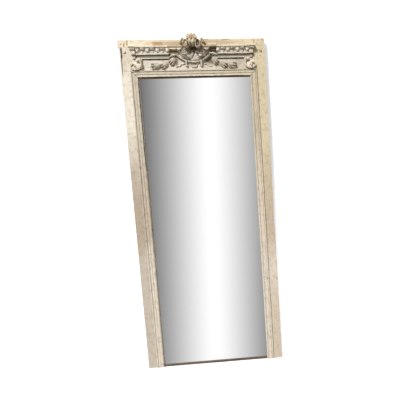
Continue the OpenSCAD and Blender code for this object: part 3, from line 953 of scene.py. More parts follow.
@dataclass(frozen=True)
class LeafShape:
    """How a carved leaf or petal swells, splits and bends."""

    half_width: float
    height: float
    edge: float = 2.0
    lobes: float = 0.0
    lobe_depth: float = 0.18
    veins: float = 0.6
    midrib: float = 1.2
    belly: float = 0.45
    cup: float = 0.0
    rise: float = 0.0
    columns: int = 21
    fullness: float = 0.62
    root_width: float = 0.16
    tip_width: float = 0.03
    lag: float = 0.1
    roundness: float = 0.92
    thin_share: float = 0.35
    plain_veins: float = 3.0
    vein_lean: float = 0.18
    midrib_width: float = 0.13

    def carve(self, path: Array, back_y: float, foot_y: float) -> Carving:
        """Carves the leaf along its midrib.

        Args:
            path: Points of the midrib in the XZ plane, from root to tip.
            back_y: Depth of the surface that the leaf springs from.
            foot_y: Depth of its flat back.

        Returns:
            The leaf.
        """
        u = np.linspace(0, 1, len(path))[:, None]
        v = np.linspace(-1, 1, self.columns)[None, :]
        swell = np.sin(np.pi * u ** (math.log(0.5) / math.log(self.belly))) ** self.fullness
        swell = np.maximum(swell, self.root_width * (1 - u) + self.tip_width)
        if self.lobes:
            swell = swell * (1 - self.lobe_depth * (0.5 + 0.5 * np.cos(2 * np.pi * self.lobes * u)))
        ahead = headings(path)
        side = np.stack([-ahead[:, 1], ahead[:, 0]], 1)
        lag = self.lag * self.half_width * v ** 2 * (1 if self.lobes else 0)
        place = (path[:, None, :] + side[:, None, :] * (v * self.half_width * swell)[..., None]
                 + ahead[:, None, :] * lag[..., None])
        crown = np.sqrt(np.clip(1 - self.roundness * v ** 2, 0, 1))
        hollow = 1 - self.cup * (1 - v ** 2)
        body = self.height * (self.thin_share + (1 - self.thin_share) * swell) * crown * hollow
        ribs = self.lobes or self.plain_veins
        vein = self.veins * np.cos(2 * np.pi * ribs * (u - self.vein_lean * np.abs(v)))
        vein = vein * np.abs(v) ** 0.5 * swell
        rib = Ripple(0.0, self.midrib_width, -self.midrib).at(v) * swell
        lift = self.rise * np.sin(np.pi * u / 2) ** 2
        depth = back_y - np.maximum(body + vein + rib + lift, self.edge)
        made = Carving()
        made.sheet(np.stack([place[..., 0], depth, place[..., 1]], 2), foot_y)
        return made


def beside(root: Point, angle: float, along: float | Array,
           side: float | Array) -> tuple[float | Array, float | Array]:
    """Places in the XZ plane along and beside a slanting axis.

    Args:
        root: Where the axis starts.
        angle: Direction of the axis in degrees.
        along: Distance along it.
        side: Distance to its left.

    Returns:
        Place across and height.
    """
    a = math.radians(angle)
    return (root[0] + along * math.cos(a) - side * math.sin(a),
            root[1] + along * math.sin(a) + side * math.cos(a))


def bell(root: Point, angle: float, stations: Sequence[Station], lobes: float, back_y: float,
         squash: float = 1.0, sides: int = 40, steps: int = 22) -> Carving:
    """A fluted body that lies against the work, round an axis in the XZ plane.

    Args:
        root: Where the axis starts.
        angle: Direction of the axis in degrees.
        stations: Place along the axis, radius, and depth of the flutes.
        lobes: Flutes round the half that shows.
        back_y: Depth of the flat back.
        squash: Height over half the width.
        sides: Faces round the half that shows.
        steps: Rings along the body.

    Returns:
        The body.
    """
    at = np.linspace(0, len(stations) - 1, steps)
    along, radius, flute = (profile(list(enumerate(column)), at) for column in zip(*stations))
    b = np.linspace(0, math.pi, sides + 1)[None, :]
    r = radius[:, None] * (1 + flute[:, None] * np.cos(2 * lobes * b))
    x, z = beside(root, angle, along[:, None], np.cos(b) * r)
    made = Carving()
    made.loft(np.stack([x, back_y - squash * r * np.sin(b), z], 2))
    return made


def turned(outline: Sequence[Point], sides: int = 32) -> Carving:
    """A body turned round the Z axis.

    Args:
        outline: Radius and height, from one pole to the other.
        sides: Faces round the axis.

    Returns:
        The body, centred on the origin.
    """
    a = np.linspace(0, 2 * math.pi, sides, endpoint=False)
    rings = [np.stack([r * np.cos(a), r * np.sin(a), np.full(sides, z)], 1) for r, z in outline]
    made = Carving()
    made.loft(np.array(rings))
    return made


def facing(piece: Carving, x: float, y: float, z: float) -> Carving:
    """A copy of an upright turned piece, tipped to face forward and then moved.

    Args:
        piece: The piece.
        x: Distance along X.
        y: Distance along Y.
        z: Distance along Z.

    Returns:
        The copy.
    """
    forward = np.array(Matrix.Rotation(math.radians(90), 3, "X"))
    made = Carving()
    made.points = [p @ forward.T + np.array([x, y, z]) for p in piece.points]
    made.faces = list(piece.faces)
    made.count = piece.count
    return made


class RepeatTree:
    """Geometry nodes that set out copies of a piece in an even row."""

    inputs = {"Geometry": "Geometry", "Count": "Int", "Start": "Vector", "Pitch": "Vector",
              "Uneven": "Float", "Seed": "Int"}

    def __init__(self, name: str, material: Material) -> None:
        """Builds the tree.

        Args:
            name: Name of the tree.
            material: Material of the copies.
        """
        self.tree = bpy.data.node_groups.new(name, "GeometryNodeTree")
        new_socket = self.tree.interface.new_socket
        asked = [new_socket(word, in_out="INPUT", socket_type="NodeSocket" + kind)
                 for word, kind in self.inputs.items()]
        new_socket("Geometry", in_out="OUTPUT", socket_type="NodeSocketGeometry")
        self.keys = {socket.name: socket.identifier for socket in asked}
        add, join = self.tree.nodes.new, self.tree.links.new
        given = add("NodeGroupInput").outputs
        line = add("GeometryNodeMeshLine")
        line.mode = "OFFSET"
        for word, target in (("Count", "Count"), ("Start", "Start Location"), ("Pitch", "Offset")):
            join(given[word], line.inputs[target])
        chance = add("FunctionNodeRandomValue")
        chance.data_type = "FLOAT"
        limits = [socket for socket in chance.inputs if socket.type == "VALUE"]
        for operation, limit in (("SUBTRACT", limits[0]), ("ADD", limits[1])):
            size = add("ShaderNodeMath")
            size.operation = operation
            size.inputs[0].default_value = 1.0
            join(given["Uneven"], size.inputs[1])
            join(size.outputs[0], limit)
        join(given["Seed"], chance.inputs["Seed"])
        place = add("GeometryNodeInstanceOnPoints")
        join(line.outputs["Mesh"], place.inputs["Points"])
        join(given["Geometry"], place.inputs["Instance"])
        join(next(socket for socket in chance.outputs if socket.type == "VALUE"), place.inputs["Scale"])
        real, paint = add("GeometryNodeRealizeInstances"), add("GeometryNodeSetMaterial")
        paint.inputs["Material"].default_value = material
        join(place.outputs["Instances"], real.inputs["Geometry"])
        join(real.outputs["Geometry"], paint.inputs["Geometry"])
        join(paint.outputs["Geometry"], add("NodeGroupOutput").inputs["Geometry"])

    def set_out(self, unit: Carving, count: int, start: Place, pitch: Place, uneven: float,
                seed: int) -> Carving:
        """Sets out a row of copies.

        Args:
            unit: The piece to copy, in millimetres round the origin.
            count: How many copies.
            start: Place of the first, in millimetres.
            pitch: Step from one to the next, in millimetres.
            uneven: How much the copies' sizes differ.
            seed: Seed of that difference.

        Returns:
            The row, in millimetres.
        """
        holder = bpy.data.objects.new("unit", unit.mesh("unit"))
        bpy.context.scene.collection.objects.link(holder)
        modifier = holder.modifiers.new("row", "NODES")
        modifier.node_group = self.tree
        for word, value in (("Count", count), ("Start", [c * MM for c in start]),
                            ("Pitch", [c * MM for c in pitch]), ("Uneven", uneven), ("Seed", seed)):
            modifier[self.keys[word]] = value
        bpy.context.view_layer.update()
        ready = holder.evaluated_get(bpy.context.evaluated_depsgraph_get())
        mesh = bpy.data.meshes.new_from_object(ready)
        holder.modifiers.remove(modifier)
        bpy.data.objects.remove(holder)
        row = Carving()
        points = np.array([v.co for v in mesh.vertices], float) / MM
        row.add(points, [tuple(p.vertices) for p in mesh.polygons])
        return row


@dataclass(frozen=True)
class Cornice:
    """The carved egg-and-leaf band on each side of the trophy."""

    places: Places
    material: Material
    run_start: float = 160.0
    block_x: float = 377.0
    core_x: float = 384.0
    break_forward: float = 12.0
    projection: float = 14.0
    ovolo: float = 12.0
    overhang: float = 4.0
    scallop: Point = (0.45, 0.55)
    least_stand: float = 12.0
    rows: int = 40
    column_step: float = 0.9
    first_egg: float = 166.0
    pitch: float = 65.5
    eggs: int = 4
    egg_r: float = 11.4
    egg_rise: float = 13.2
    egg_taper: float = 0.14
    egg_sink: float = 0.1
    egg_drop: float = 0.5
    egg_uneven: float = 0.03
    egg_seed: int = 3
    shell: Point = (11.5, 14.5)
    shell_rise: float = 1.0
    socket: Ripple = Ripple(1.08, 0.16, -1.9)
    rim: Ripple = Ripple(1.5, 0.17, 3.0)
    rim_top: float = 11.0
    trench: Ripple = Ripple(1.85, 0.14, -0.9)
    leaf_widths: Line = ((-18, 1.2), (-13, 3.5), (-4, 8.5), (6, 10), (12, 8), (15, 5))
    leaf_height: float = 6.5
    leaf_fullness: float = 0.6
    leaf_vein: Ripple = Ripple(0.0, 1.3, -2.6)
    vein_width: float = 2.0
    notch_depth: float = 0.25
    notch_pitch: float = 6.5
    notch_lean: float = 0.5
    notch_start: float = 3.0
    hole: Point = (16.5, 10.5)
    hole_half: Point = (4.0, 3.4)
    hole_depth: float = 17.0
    block_columns: tuple[int, int] = (26, 18)
    block_front: float = 33.0
    block_side: float = 30.0
    flute_depth: float = 1.6
    flute_pitch: float = 16.5
    flute_lean: float = 0.09
    flute_reach: float = 12.0

    @property
    def egg_z(self) -> float:
        """Height of the middle of the band."""
        return (self.places.band_z + self.places.band_top) / 2

    def out(self, z: Array) -> Array:
        """How far the band's ground stands off the panel at a height."""
        low = np.clip(self.places.band_top - z, 0, self.ovolo)
        return self.projection + np.sqrt(np.clip(self.ovolo ** 2 - low ** 2, 0, None))

    def relief(self, u: Array, v: Array) -> Array:
        """Depth of the carving round an egg.

        Args:
            u: Distance across from the egg.
            v: Height over the egg's middle.

        Returns:
            How far the carving stands off the ground.
        """
        far = np.sqrt((u / self.shell[0]) ** 2 + ((v - self.shell_rise) / self.shell[1]) ** 2)
        across = self.pitch / 2 - np.abs(u)
        width = straight(self.leaf_widths, v)
        leaf = np.clip(1 - (across / width) ** 2, 0, 1) ** self.leaf_fullness
        notch = np.cos(2 * np.pi * (v - self.notch_lean * across) / self.notch_pitch)
        notch = 1 - self.notch_depth * notch * part(across, 0, self.notch_start)
        leaf = leaf * self.leaf_height * notch + self.leaf_vein.at(across) * (width > self.vein_width)
        hole_u = (np.abs(u) - self.hole[0]) / self.hole_half[0]
        hole_v = (v - self.hole[1]) / self.hole_half[1]
        hole = -self.hole_depth * np.exp(-(hole_u ** 2 + hole_v ** 2) ** 2)
        rim = self.rim.at(far) * (v < self.rim_top)
        return self.socket.at(far) + np.maximum(rim, leaf) + self.trench.at(far) * (leaf < 1) + hole

    def band(self) -> Carving:
        """Carves the right-hand band, with its end block.

        Returns:
            The band.
        """
        p = self.places
        z = np.linspace(p.band_top, p.band_z - self.overhang, self.rows)
        x = np.arange(self.run_start, self.block_x + 0.5, self.column_step)
        grid_x, grid_z = np.meshgrid(x, z)
        cell = (grid_x - self.first_egg + self.pitch / 2) % self.pitch - self.pitch / 2
        wave = np.cos(4 * np.pi * (grid_x - self.first_egg) / self.pitch)
        foot = p.band_z - self.overhang * (self.scallop[0] + self.scallop[1] * wave)
        stand = self.out(grid_z) + self.relief(cell, grid_z - self.egg_z)
        stand = np.where(grid_z < foot, self.least_stand, np.maximum(stand, self.least_stand))
        made = Carving()
        made.sheet(np.stack([grid_x, p.panel_y - stand, grid_z], 2), p.panel_y)
        made.take(self._block(z[z >= p.band_z]))
        return made

    def _block(self, z: Array) -> Carving:
        """The end block, mitred round its outer corner.

        Args:
            z: Heights of its rows, from the top down.

        Returns:
            The block.
        """
        p = self.places
        out = self.out(z)
        front_y = p.panel_y - self.break_forward
        across = np.linspace(0, 1, self.block_columns[0])
        x = self.block_x + across[None, :] * (self.core_x - self.block_x + out[:, None])
        y = np.repeat((front_y - out)[:, None], len(across), 1)
        back = np.linspace(0, 1, self.block_columns[1])[1:]
        side_y = (front_y - out)[:, None] + back[None, :] * (p.front_y - front_y + out)[:, None]
        side_x = np.repeat((self.core_x + out)[:, None], len(back), 1)
        along = np.concatenate([across * self.block_front, self.block_front + back * self.block_side])
        rise = z[:, None] - self.egg_z
        turn = 2 * np.pi * (along[None, :] - self.block_front) / self.flute_pitch - self.flute_lean * rise
        wave = self.flute_depth * np.cos(turn) * np.exp(-(rise / self.flute_reach) ** 2)
        grid_x = np.concatenate([x, side_x + wave[:, len(across):]], 1)
        grid_y = np.concatenate([y - wave[:, :len(across)], side_y], 1)
        grid_z = np.repeat(z[:, None], grid_x.shape[1], 1)
        front = np.stack([grid_x, grid_y, grid_z], 2)
        inner = front.copy()
        inner[..., 0] = np.minimum(inner[..., 0], self.core_x)
        inner[..., 1] = p.front_y
        made = Carving()
        made.loft(np.concatenate([front, inner[:, ::-1]], 1))
        return made

    def build(self) -> None:
        """Makes both bands."""
        outline = [(max(self.egg_r * math.sin(a) * (1 + self.egg_taper * math.cos(a)), 0.05),
                    self.egg_rise * math.cos(a)) for a in np.linspace(0, math.pi, 18)]
        tree = RepeatTree("egg_row", self.material)
        egg = turned(outline, 28)
        egg_y = self.places.panel_y - self.projection - self.ovolo * self.egg_sink
        start = (self.first_egg, egg_y, self.egg_z - self.egg_drop)
        for side, node in ((1, "right_egg_band"), (-1, "left_egg_band")):
            whole = self.band()
            whole.take(tree.set_out(egg, self.eggs, start, (self.pitch, 0, 0), self.egg_uneven,
                                    self.egg_seed + side))
            whole = whole if side > 0 else whole.mirrored()
            whole.finish(node, self.material)


@dataclass(frozen=True)
class Consoles:
    """The scroll and the hanging bud under each end of the cornice.

    Turns and rounds are in millimetres from the scroll's inner side and foot. The rounds' heights
    are shares of the relief.
    """

    places: Places
    material: Material
    inner_x: float = 346.0
    foot_rise: float = 6.5
    top_drop: float = 0.15
    band: float = 10.5
    band_taper: float = 0.3
    relief: float = 19.0
    relief_taper: float = 0.16
    turns: Line = (
        (1, 54), (-2, 36), (0, 20), (12, 5), (33, -1), (53, 3), (65, 16), (63, 29), (51, 35), (39, 30),
        (35, 21), (42, 15))
    ground: Line = ((0.1, 0), (22, 0), (22, 0.24), (19, 0.36), (0.1, 0.44))
    ground_places: Line = ((24, 21.2), (32, 22.0), (40, 21.2))
    eye: Line = ((0.1, 0), (4.4, 0), (4.4, 0.8), (3.4, 0.9), (0.1, 0.94))
    eye_place: Point = (42, 23)
    plate: Point = (58, 18)
    plate_stand: float = 0.16
    bud_x: float = 17.0
    bud_sink: float = 0.42
    bud_stations: tuple[Station, ...] = (
        (0, 6, 0), (3, 9, 0.05), (9, 11.5, 0.1), (16, 11, 0.12), (22, 8, 0.12), (26, 3.5, 0.05), (28, 0.6, 0))
    bud_leaf: LeafShape = LeafShape(4.2, 8.0, edge=3.0, midrib=0.8)
    bud_leaf_x: float = 7.5

    @property
    def top(self) -> float:
        """Height of the scroll's and the bud's upper end."""
        return self.places.bed_z - self.top_drop

    def _round(self, outline: Sequence[Point], place: Point, sides: int) -> Carving:
        """A round boss that faces forward.

        Args:
            outline: Its radii, and its heights as shares of the relief.
            place: Its middle.
            sides: Faces round it.

        Returns:
            The boss.
        """
        made = turned([(r, self.relief * share) for r, share in outline], sides)
        foot = self.places.frieze_z + self.foot_rise
        return facing(made, self.inner_x + place[0], self.places.front_y, foot + place[1])

    def scroll(self) -> Carving:
        """Carves the right-hand scroll: a stem that sweeps under and curls in from the outer side.

        Returns:
            The scroll.
        """
        p = self.places
        x, foot = self.inner_x, p.frieze_z + self.foot_rise
        path = curve([(x + 3, self.top)] + [(x + out, foot + rise) for out, rise in self.turns], 120)
        t = np.linspace(0, 1, len(path))
        made = strap(path, self.band / 2 * (1 - self.band_taper * t),
                     self.relief * (1 - self.relief_taper * t), p.front_y, SHALLOW)
        for place in self.ground_places:
            made.take(self._round(self.ground, place, 56))
        made.take(self._round(self.eye, self.eye_place, 28))
        front_y = p.front_y - self.relief * self.plate_stand
        made.sheet(np.array([[[x, front_y, z], [x + self.plate[0], front_y, z]]
                             for z in (self.top, foot + self.plate[1])]), p.front_y)
        return made

    def bud(self) -> Carving:
        """Carves the right-hand bud.

        Returns:
            The bud.
        """
        back = self.places.front_y - self.relief * self.bud_sink
        x = self.inner_x + self.bud_x
        made = bell((x, self.top), -90, self.bud_stations, 2, back, 0.9, 32)
        for shift in (-self.bud_leaf_x, self.bud_leaf_x):
            line = [(x + shift * out, self.top - drop) for out, drop in ((0.5, 0), (1, 8), (0.7, 17))]
            made.take(self.bud_leaf.carve(curve(line, 16), back, back))
        return made

    def build(self) -> None:
        """Makes both scrolls and both buds."""
        for make, name in ((self.scroll, "console"), (self.bud, "bud")):
            make().finish(f"right_{name}", self.material)
            make().mirrored().finish(f"left_{name}", self.material)


@dataclass(frozen=True)
class Garlands:
    """Three husks on each side, hanging outwards from the trophy.

    Each husk has the place of its root, its height over the frieze's foot, its angle and its size.
    The stations are shares of the length, shares of the radius, and depths of the flutes.
    """

    places: Places
    material: Material
    length: float = 64.0
    radius: float = 22.5
    husks: tuple[tuple[float, float, float, float], ...] = (
        (124, 80, -50, 0.86), (172, 49, -32, 0.9), (222, 33, -6, 1.0))
    stations: tuple[Station, ...] = (
        (0, 0.3, 0), (0.06, 0.6, 0.02), (0.17, 0.86, 0.03), (0.34, 0.98, 0.05), (0.52, 0.98, 0.09),
        (0.66, 0.86, 0.14), (0.76, 0.6, 0.16), (0.8, 0.1, 0.1))
    squash: float = 0.7
    finger: Line = ((0.4, 0.52), (0.62, 0.66), (0.82, 0.72), (1.0, 0.66))
    side_shorter: float = 0.06
    middle_rise: float = 0.44
    side_rise: float = 0.26

    def husk(self, x: float, rise: float, angle: float, size: float) -> Carving:
        """Carves one husk.

        Args:
            x: Place of its root from the middle.
            rise: Height of its root over the frieze's foot.
            angle: Direction of its mouth in degrees.
            size: Its scale.

        Returns:
            The husk.
        """
        p = self.places
        l, r = self.length * size, self.radius * size
        root = (x, p.frieze_z + rise)
        shape = [(l * along, r * out, flute) for along, out, flute in self.stations]
        made = bell(root, angle, shape, 2, p.panel_y, self.squash, 72, 44)
        finger = LeafShape(r * 0.3, r * 0.5, edge=r * 0.16, midrib=0.0, veins=0.0, belly=0.6)
        for spread in (-1.0, 0.0, 1.0):
            tip = 1.0 - self.side_shorter * abs(spread)
            corners = [beside(root, angle, min(along, tip) * l, spread * out * r)
                       for along, out in self.finger]
            height = r * (self.side_rise if spread else self.middle_rise)
            made.take(finger.carve(curve(corners, 26), p.panel_y - height, p.panel_y))
        return made

    def build(self) -> None:
        """Makes the six husks."""
        for number, husk in enumerate(self.husks, 1):
            self.husk(*husk).finish(f"right_husk_{number}", self.material)
            self.husk(*husk).mirrored().finish(f"left_husk_{number}", self.material)


@dataclass(frozen=True)
class Slope:
    """A height that grows from a start along a span and then stays."""

    start: float
    span: float
    height: float

    def at(self, value: Array) -> Array:
        """Its height at some places."""
        return self.height * part(value, self.start, self.span)


@dataclass(frozen=True)
class Ridge:
    """A ridge along a line, or a groove if its height is negative."""

    width: float
    height: float
    line: Line


@dataclass(frozen=True)
class Swell:
    """A rounded swelling: its middle, half its width and height, how far it stands up, and its turn."""

    middle: Point
    half: Point
    height: float
    lean: float = 0.0


class Field:
    """Heights over a patch of the XZ plane, on which ridges, grooves and swellings are carved.

    Lines and middles are given from the middle of the work and over the frieze's foot.
    """

    def __init__(self, x: Array, edges: tuple[Sequence[Point], Sequence[Point]], rows: int, foot: float,
                 stand: float) -> None:
        """Starts from a flat ground between an upper and a lower edge.

        Args:
            x: Places across.
            edges: Stations of the upper and the lower edge.
            rows: Rows of corners from one to the other.
            foot: Height of the frieze's foot.
            stand: How far the ground stands off the back.
        """
        top, low = (foot + straight(edge, np.abs(x))[None, :] for edge in edges)
        share = np.linspace(0, 1, rows)[:, None]
        self.foot = foot
        self.z = top * (1 - share) + low * share
        self.x = np.repeat(x[None, :], rows, 0)
        self.rise = self.z - low
        self.drop = top - self.z
        self.stand = stand + np.zeros_like(self.x)

    def away(self, path: Array) -> Array:
        """Distance of every corner from a path.

        Args:
            path: Points of the path, one row each.

        Returns:
            The distances.
        """
        best = np.full(self.x.shape, np.inf)
        for (ax, az), (bx, bz) in zip(path, path[1:]):
            run = max((bx - ax) ** 2 + (bz - az) ** 2, TINY)
            t = np.clip(((self.x - ax) * (bx - ax) + (self.z - az) * (bz - az)) / run, 0, 1)
            best = np.minimum(best, np.hypot(self.x - ax - t * (bx - ax), self.z - az - t * (bz - az)))
        return best

    def ridge(self, ridge: Ridge, side: int = 1) -> None:
        """Carves a ridge or a groove on one side of the middle."""
        line = curve([(side * x, self.foot + rise) for x, rise in ridge.line], 40)
        self.stand += Ripple(0.0, ridge.width, ridge.height).at(self.away(line))

    def swell(self, swell: Swell, side: int = 1) -> None:
        """Raises a rounded swelling on one side of the middle.

        Args:
            swell: The swelling.
            side: 1 for the right and -1 for the left.
        """
        a = math.radians(swell.lean)
        x, z = self.x - side * swell.middle[0], self.z - (self.foot + swell.middle[1])
        u = (x * math.cos(a) + z * math.sin(a)) / swell.half[0]
        v = (z * math.cos(a) - x * math.sin(a)) / swell.half[1]
        self.stand += swell.height * np.sqrt(np.clip(1 - u ** 2 - v ** 2, 0, 1))

    def gadroons(self, lobe: Swell) -> None:
        """Raises a swelling on each side of the middle, which run softly into one another.

        Args:
            lobe: The right-hand one, which stands off the back.
        """
        v = (self.z - (self.foot + lobe.middle[1])) / lobe.half[1]
        across = [(self.x - side * lobe.middle[0]) / lobe.half[0] for side in (-1, 1)]
        both = np.array([np.sqrt(np.clip(1 - u ** 2 - v ** 2, 0, 1)) for u in across])
        self.stand = np.maximum(self.stand, lobe.height * np.minimum(np.sum(both ** 5, 0) ** 0.2, 1.0))


@dataclass(frozen=True)
class Shield:
    """The shield: hollow wings over a turned lip, and the lobes that hang from it.

    Lines run from the middle and over the frieze's foot.
    """

    hook_x: float = 114.0
    grid: tuple[int, int] = (190, 110)
    top: Line = (
        (0, 212), (14, 211), (26, 207), (38, 199), (50, 186), (56, 168), (62, 149), (74, 136), (86, 131),
        (96, 132), (106, 138), (111, 143), (114, 147))
    low: Line = (
        (0, 60), (24, 62), (46, 68), (63, 80), (76, 92), (84, 100), (92, 112), (100, 121), (108, 129),
        (112, 136), (114, 145))
    lip_line: Line = (
        (-114, 136), (-97, 126), (-85, 113), (-70, 100), (-57, 93), (-44, 94), (-32, 104), (-18, 116),
        (0, 120), (14, 114), (33, 105), (48, 101), (64, 99), (78, 108), (88, 119), (99, 134), (114, 140))
    ground: float = 9.0
    ground_slope: Slope = Slope(0.0, 34.0, 8.0)
    lip_edge: Point = (1.0, 1.6)
    lip: Ripple = Ripple(1.5, 3.8, 13.0)
    lip_fade: Point = (0.1, 0.16)
    wing_step: float = 4.0
    wing_slope: Slope = Slope(0.0, 40.0, 7.0)
    flute: float = 1.3
    flute_pitch: float = 13.0
    flute_lean: float = 0.12
    flute_end: float = -20.0
    flute_fades: Point = (9.0, 60.0)
    hanging_step: float = 3.0
    lobes: tuple[Swell, ...] = (Swell((-48, 87), (32, 16), 17, -18), Swell((56, 89), (27, 14), 18, 16))
    tongue: Point = (12.0, 120.0)
    tongue_lean: float = 0.35
    tongue_half: float = 17.0
    tongue_soft: float = 1.5
    tongue_ground: float = 11.0
    tongue_slope: Slope = Slope(0.0, 50.0, 10.0)
    tongue_top: float = 4.0
    clefts: tuple[Ridge, ...] = (Ridge(3.0, -15, ((9, 121), (7, 104), (0, 89), (-11, 70))),
                                 Ridge(2.4, -8, ((24, 108), (30, 94), (38, 82), (50, 72))))
    rolls: tuple[Ridge, ...] = (
        Ridge(3.8, 9, ((114, 146), (106, 136), (96, 130), (84, 129), (72, 135), (61, 147), (55, 166),
                       (50, 184))),
        Ridge(4.0, -4, ((103, 124), (92, 119), (80, 122), (70, 132), (62, 144))))
    curl: float = 10.0
    curl_part: Point = (96.0, 18.0)
    edge: float = 4.5
    edge_share: float = 0.45
    least_stand: float = 9.5

    def _wings(self, work: Field, over: Array) -> None:
        """Raises the fluted wings over the turned lip.

        Args:
            work: The shield's face.
            over: Height over the lip.
        """
        above = ramp(over, *self.lip_edge)
        flute = np.cos(2 * np.pi * (work.x - self.flute_lean * over) / self.flute_pitch)
        flute = self.flute * flute * (work.x < self.flute_end)
        flute = flute * part(over, 0, self.flute_fades[0]) * (1 - part(over, 0, self.flute_fades[1]))
        work.stand += above * (self.wing_step + flute + self.wing_slope.at(over))
        work.stand += self.lip.at(over) * part(np.abs(work.x) / self.hook_x, *self.lip_fade)
        work.stand += (1 - above) * self.hanging_step

    def carve(self, places: Places) -> Carving:
        """Carves the shield.

        Args:
            places: The frame's places.

        Returns:
            The shield.
        """
        x = np.linspace(-self.hook_x, self.hook_x, self.grid[0])
        work = Field(x, (self.top, self.low), self.grid[1], places.frieze_z, self.ground)
        work.stand += self.ground_slope.at(work.rise)
        over = work.z - (work.foot + straight(self.lip_line, x))[None, :]
        self._wings(work, over)
        for lobe in self.lobes:
            work.swell(lobe)
        lean = self.tongue_lean * ((work.foot + self.tongue[1]) - work.z)
        tongue = ramp(np.abs(work.x - self.tongue[0] - lean), self.tongue_half, -self.tongue_soft)
        tongue = (self.tongue_ground + self.tongue_slope.at(work.rise)) * tongue * (over < self.tongue_top)
        work.stand = np.maximum(work.stand, tongue)
        for cleft in self.clefts:
            work.ridge(cleft)
        for side in (-1, 1):
            for roll in self.rolls:
                work.ridge(roll, side)
        curl = self.curl * part(np.abs(work.x), *self.curl_part) ** 2
        edge = part(np.minimum(work.rise, work.drop), 0, self.edge) ** 0.5
        stand = (work.stand + curl) * (self.edge_share + (1 - self.edge_share) * edge)
        made = Carving()
        made.sheet(np.stack([work.x, places.panel_y - np.maximum(stand, self.least_stand), work.z], 2),
                   np.where(work.z > places.rail_z, places.front_y, places.panel_y))
        return made


@dataclass(frozen=True)
class Volute:
    """One side of the crest: how far its ground is filled in, and how far its eye stands up."""

    side: int
    filled: float
    depth: float
    eye: float


@dataclass(frozen=True)
class Crest:
    """The crest: two swelling gadroons between two upright volutes.

    Lines run from the middle and over the frieze's foot.
    """

    half_width: float = 60.0
    grid: tuple[int, int] = (150, 90)
    top: Line = (
        (0, 190), (14, 190), (22, 188), (32, 192), (42, 192), (50, 188), (56, 178), (59, 168), (60, 163))
    low: Line = (
        (0, 147), (12, 146), (20, 144), (26, 137), (31, 132), (40, 130), (50, 136), (56, 146), (59, 155),
        (60, 160))
    ground: float = 4.0
    volutes: tuple[Volute, ...] = (Volute(-1, 25.0, 3.0, 2.5), Volute(1, 14.0, 16.0, 19.0))
    middle: Point = (39.0, 161.0)
    half: Point = (15.5, 26.5)
    inner_edge: Point = (0.86, 0.05)
    upper_edge: Point = (-0.1, 0.15)
    lower_share: float = 0.35
    rim_start: float = 150.0
    rim_width: float = 4.8
    rim_height: float = 24.0
    eye: Point = (38.0, 161.0)
    eye_half: Point = (5.5, 7.5)
    tail: Ridge = Ridge(2.6, 7, ((42, 153), (45, 146), (40, 140)))
    gadroon: Swell = Swell((11.5, 168), (16.0, 27.0), 44.0)
    edge: float = 5.0
    side_edge: float = 4.0
    sink: float = 8.0
    thickness: float = 10.0

    def _scrolled(self, work: Field, volute: Volute) -> None:
        """Rolls one volute on the crest.

        Args:
            work: The crest's face.
            volute: Its side and depths.
        """
        x, z = volute.side * self.middle[0], work.foot + self.middle[1]
        a = np.radians(np.linspace(self.rim_start, self.rim_start - 360, 60))
        rim = np.stack([x + volute.side * self.half[0] * np.cos(a), z + self.half[1] * np.sin(a)], 1)
        v = (work.z - z) / self.half[1]
        inside = ramp(np.hypot((work.x - x) / self.half[0], v), self.inner_edge[0], -self.inner_edge[1])
        upper = self.lower_share + (1 - self.lower_share) * ramp(v, *self.upper_edge)
        work.stand += inside * (volute.filled - volute.depth * upper)
        work.stand += self.rim_height * np.exp(-(work.away(rim) / self.rim_width) ** 4)
        work.swell(Swell(self.eye, self.eye_half, volute.eye), volute.side)
        work.ridge(self.tail, volute.side)

    def carve(self, places: Places, face_y: float) -> Carving:
        """Carves the crest.

        Args:
            places: The frame's places.
            face_y: Depth of the shield's face.

        Returns:
            The crest.
        """
        x = np.linspace(-self.half_width, self.half_width, self.grid[0])
        work = Field(x, (self.top, self.low), self.grid[1], places.frieze_z, self.ground)
        for volute in self.volutes:
            self._scrolled(work, volute)
        work.gadroons(self.gadroon)
        edge = part(np.minimum(work.rise * 2, work.drop), 0, self.edge) ** 0.5
        side_edge = part(self.half_width + 0.5 - np.abs(work.x), 0, self.side_edge) ** 0.5
        stand = np.maximum(work.stand, self.ground) * (0.5 + 0.5 * edge) * (0.4 + 0.6 * side_edge)
        made = Carving()
        made.sheet(np.stack([work.x, face_y + self.sink - stand, work.z], 2), face_y + self.thickness)
        return made


@dataclass(frozen=True)
class PetalRing:
    """A ring of petals: how many, how far they reach, and how they stand, turn, spread and rise."""

    count: int
    reach: float
    y: float
    turn: float
    spread: float
    rise: float


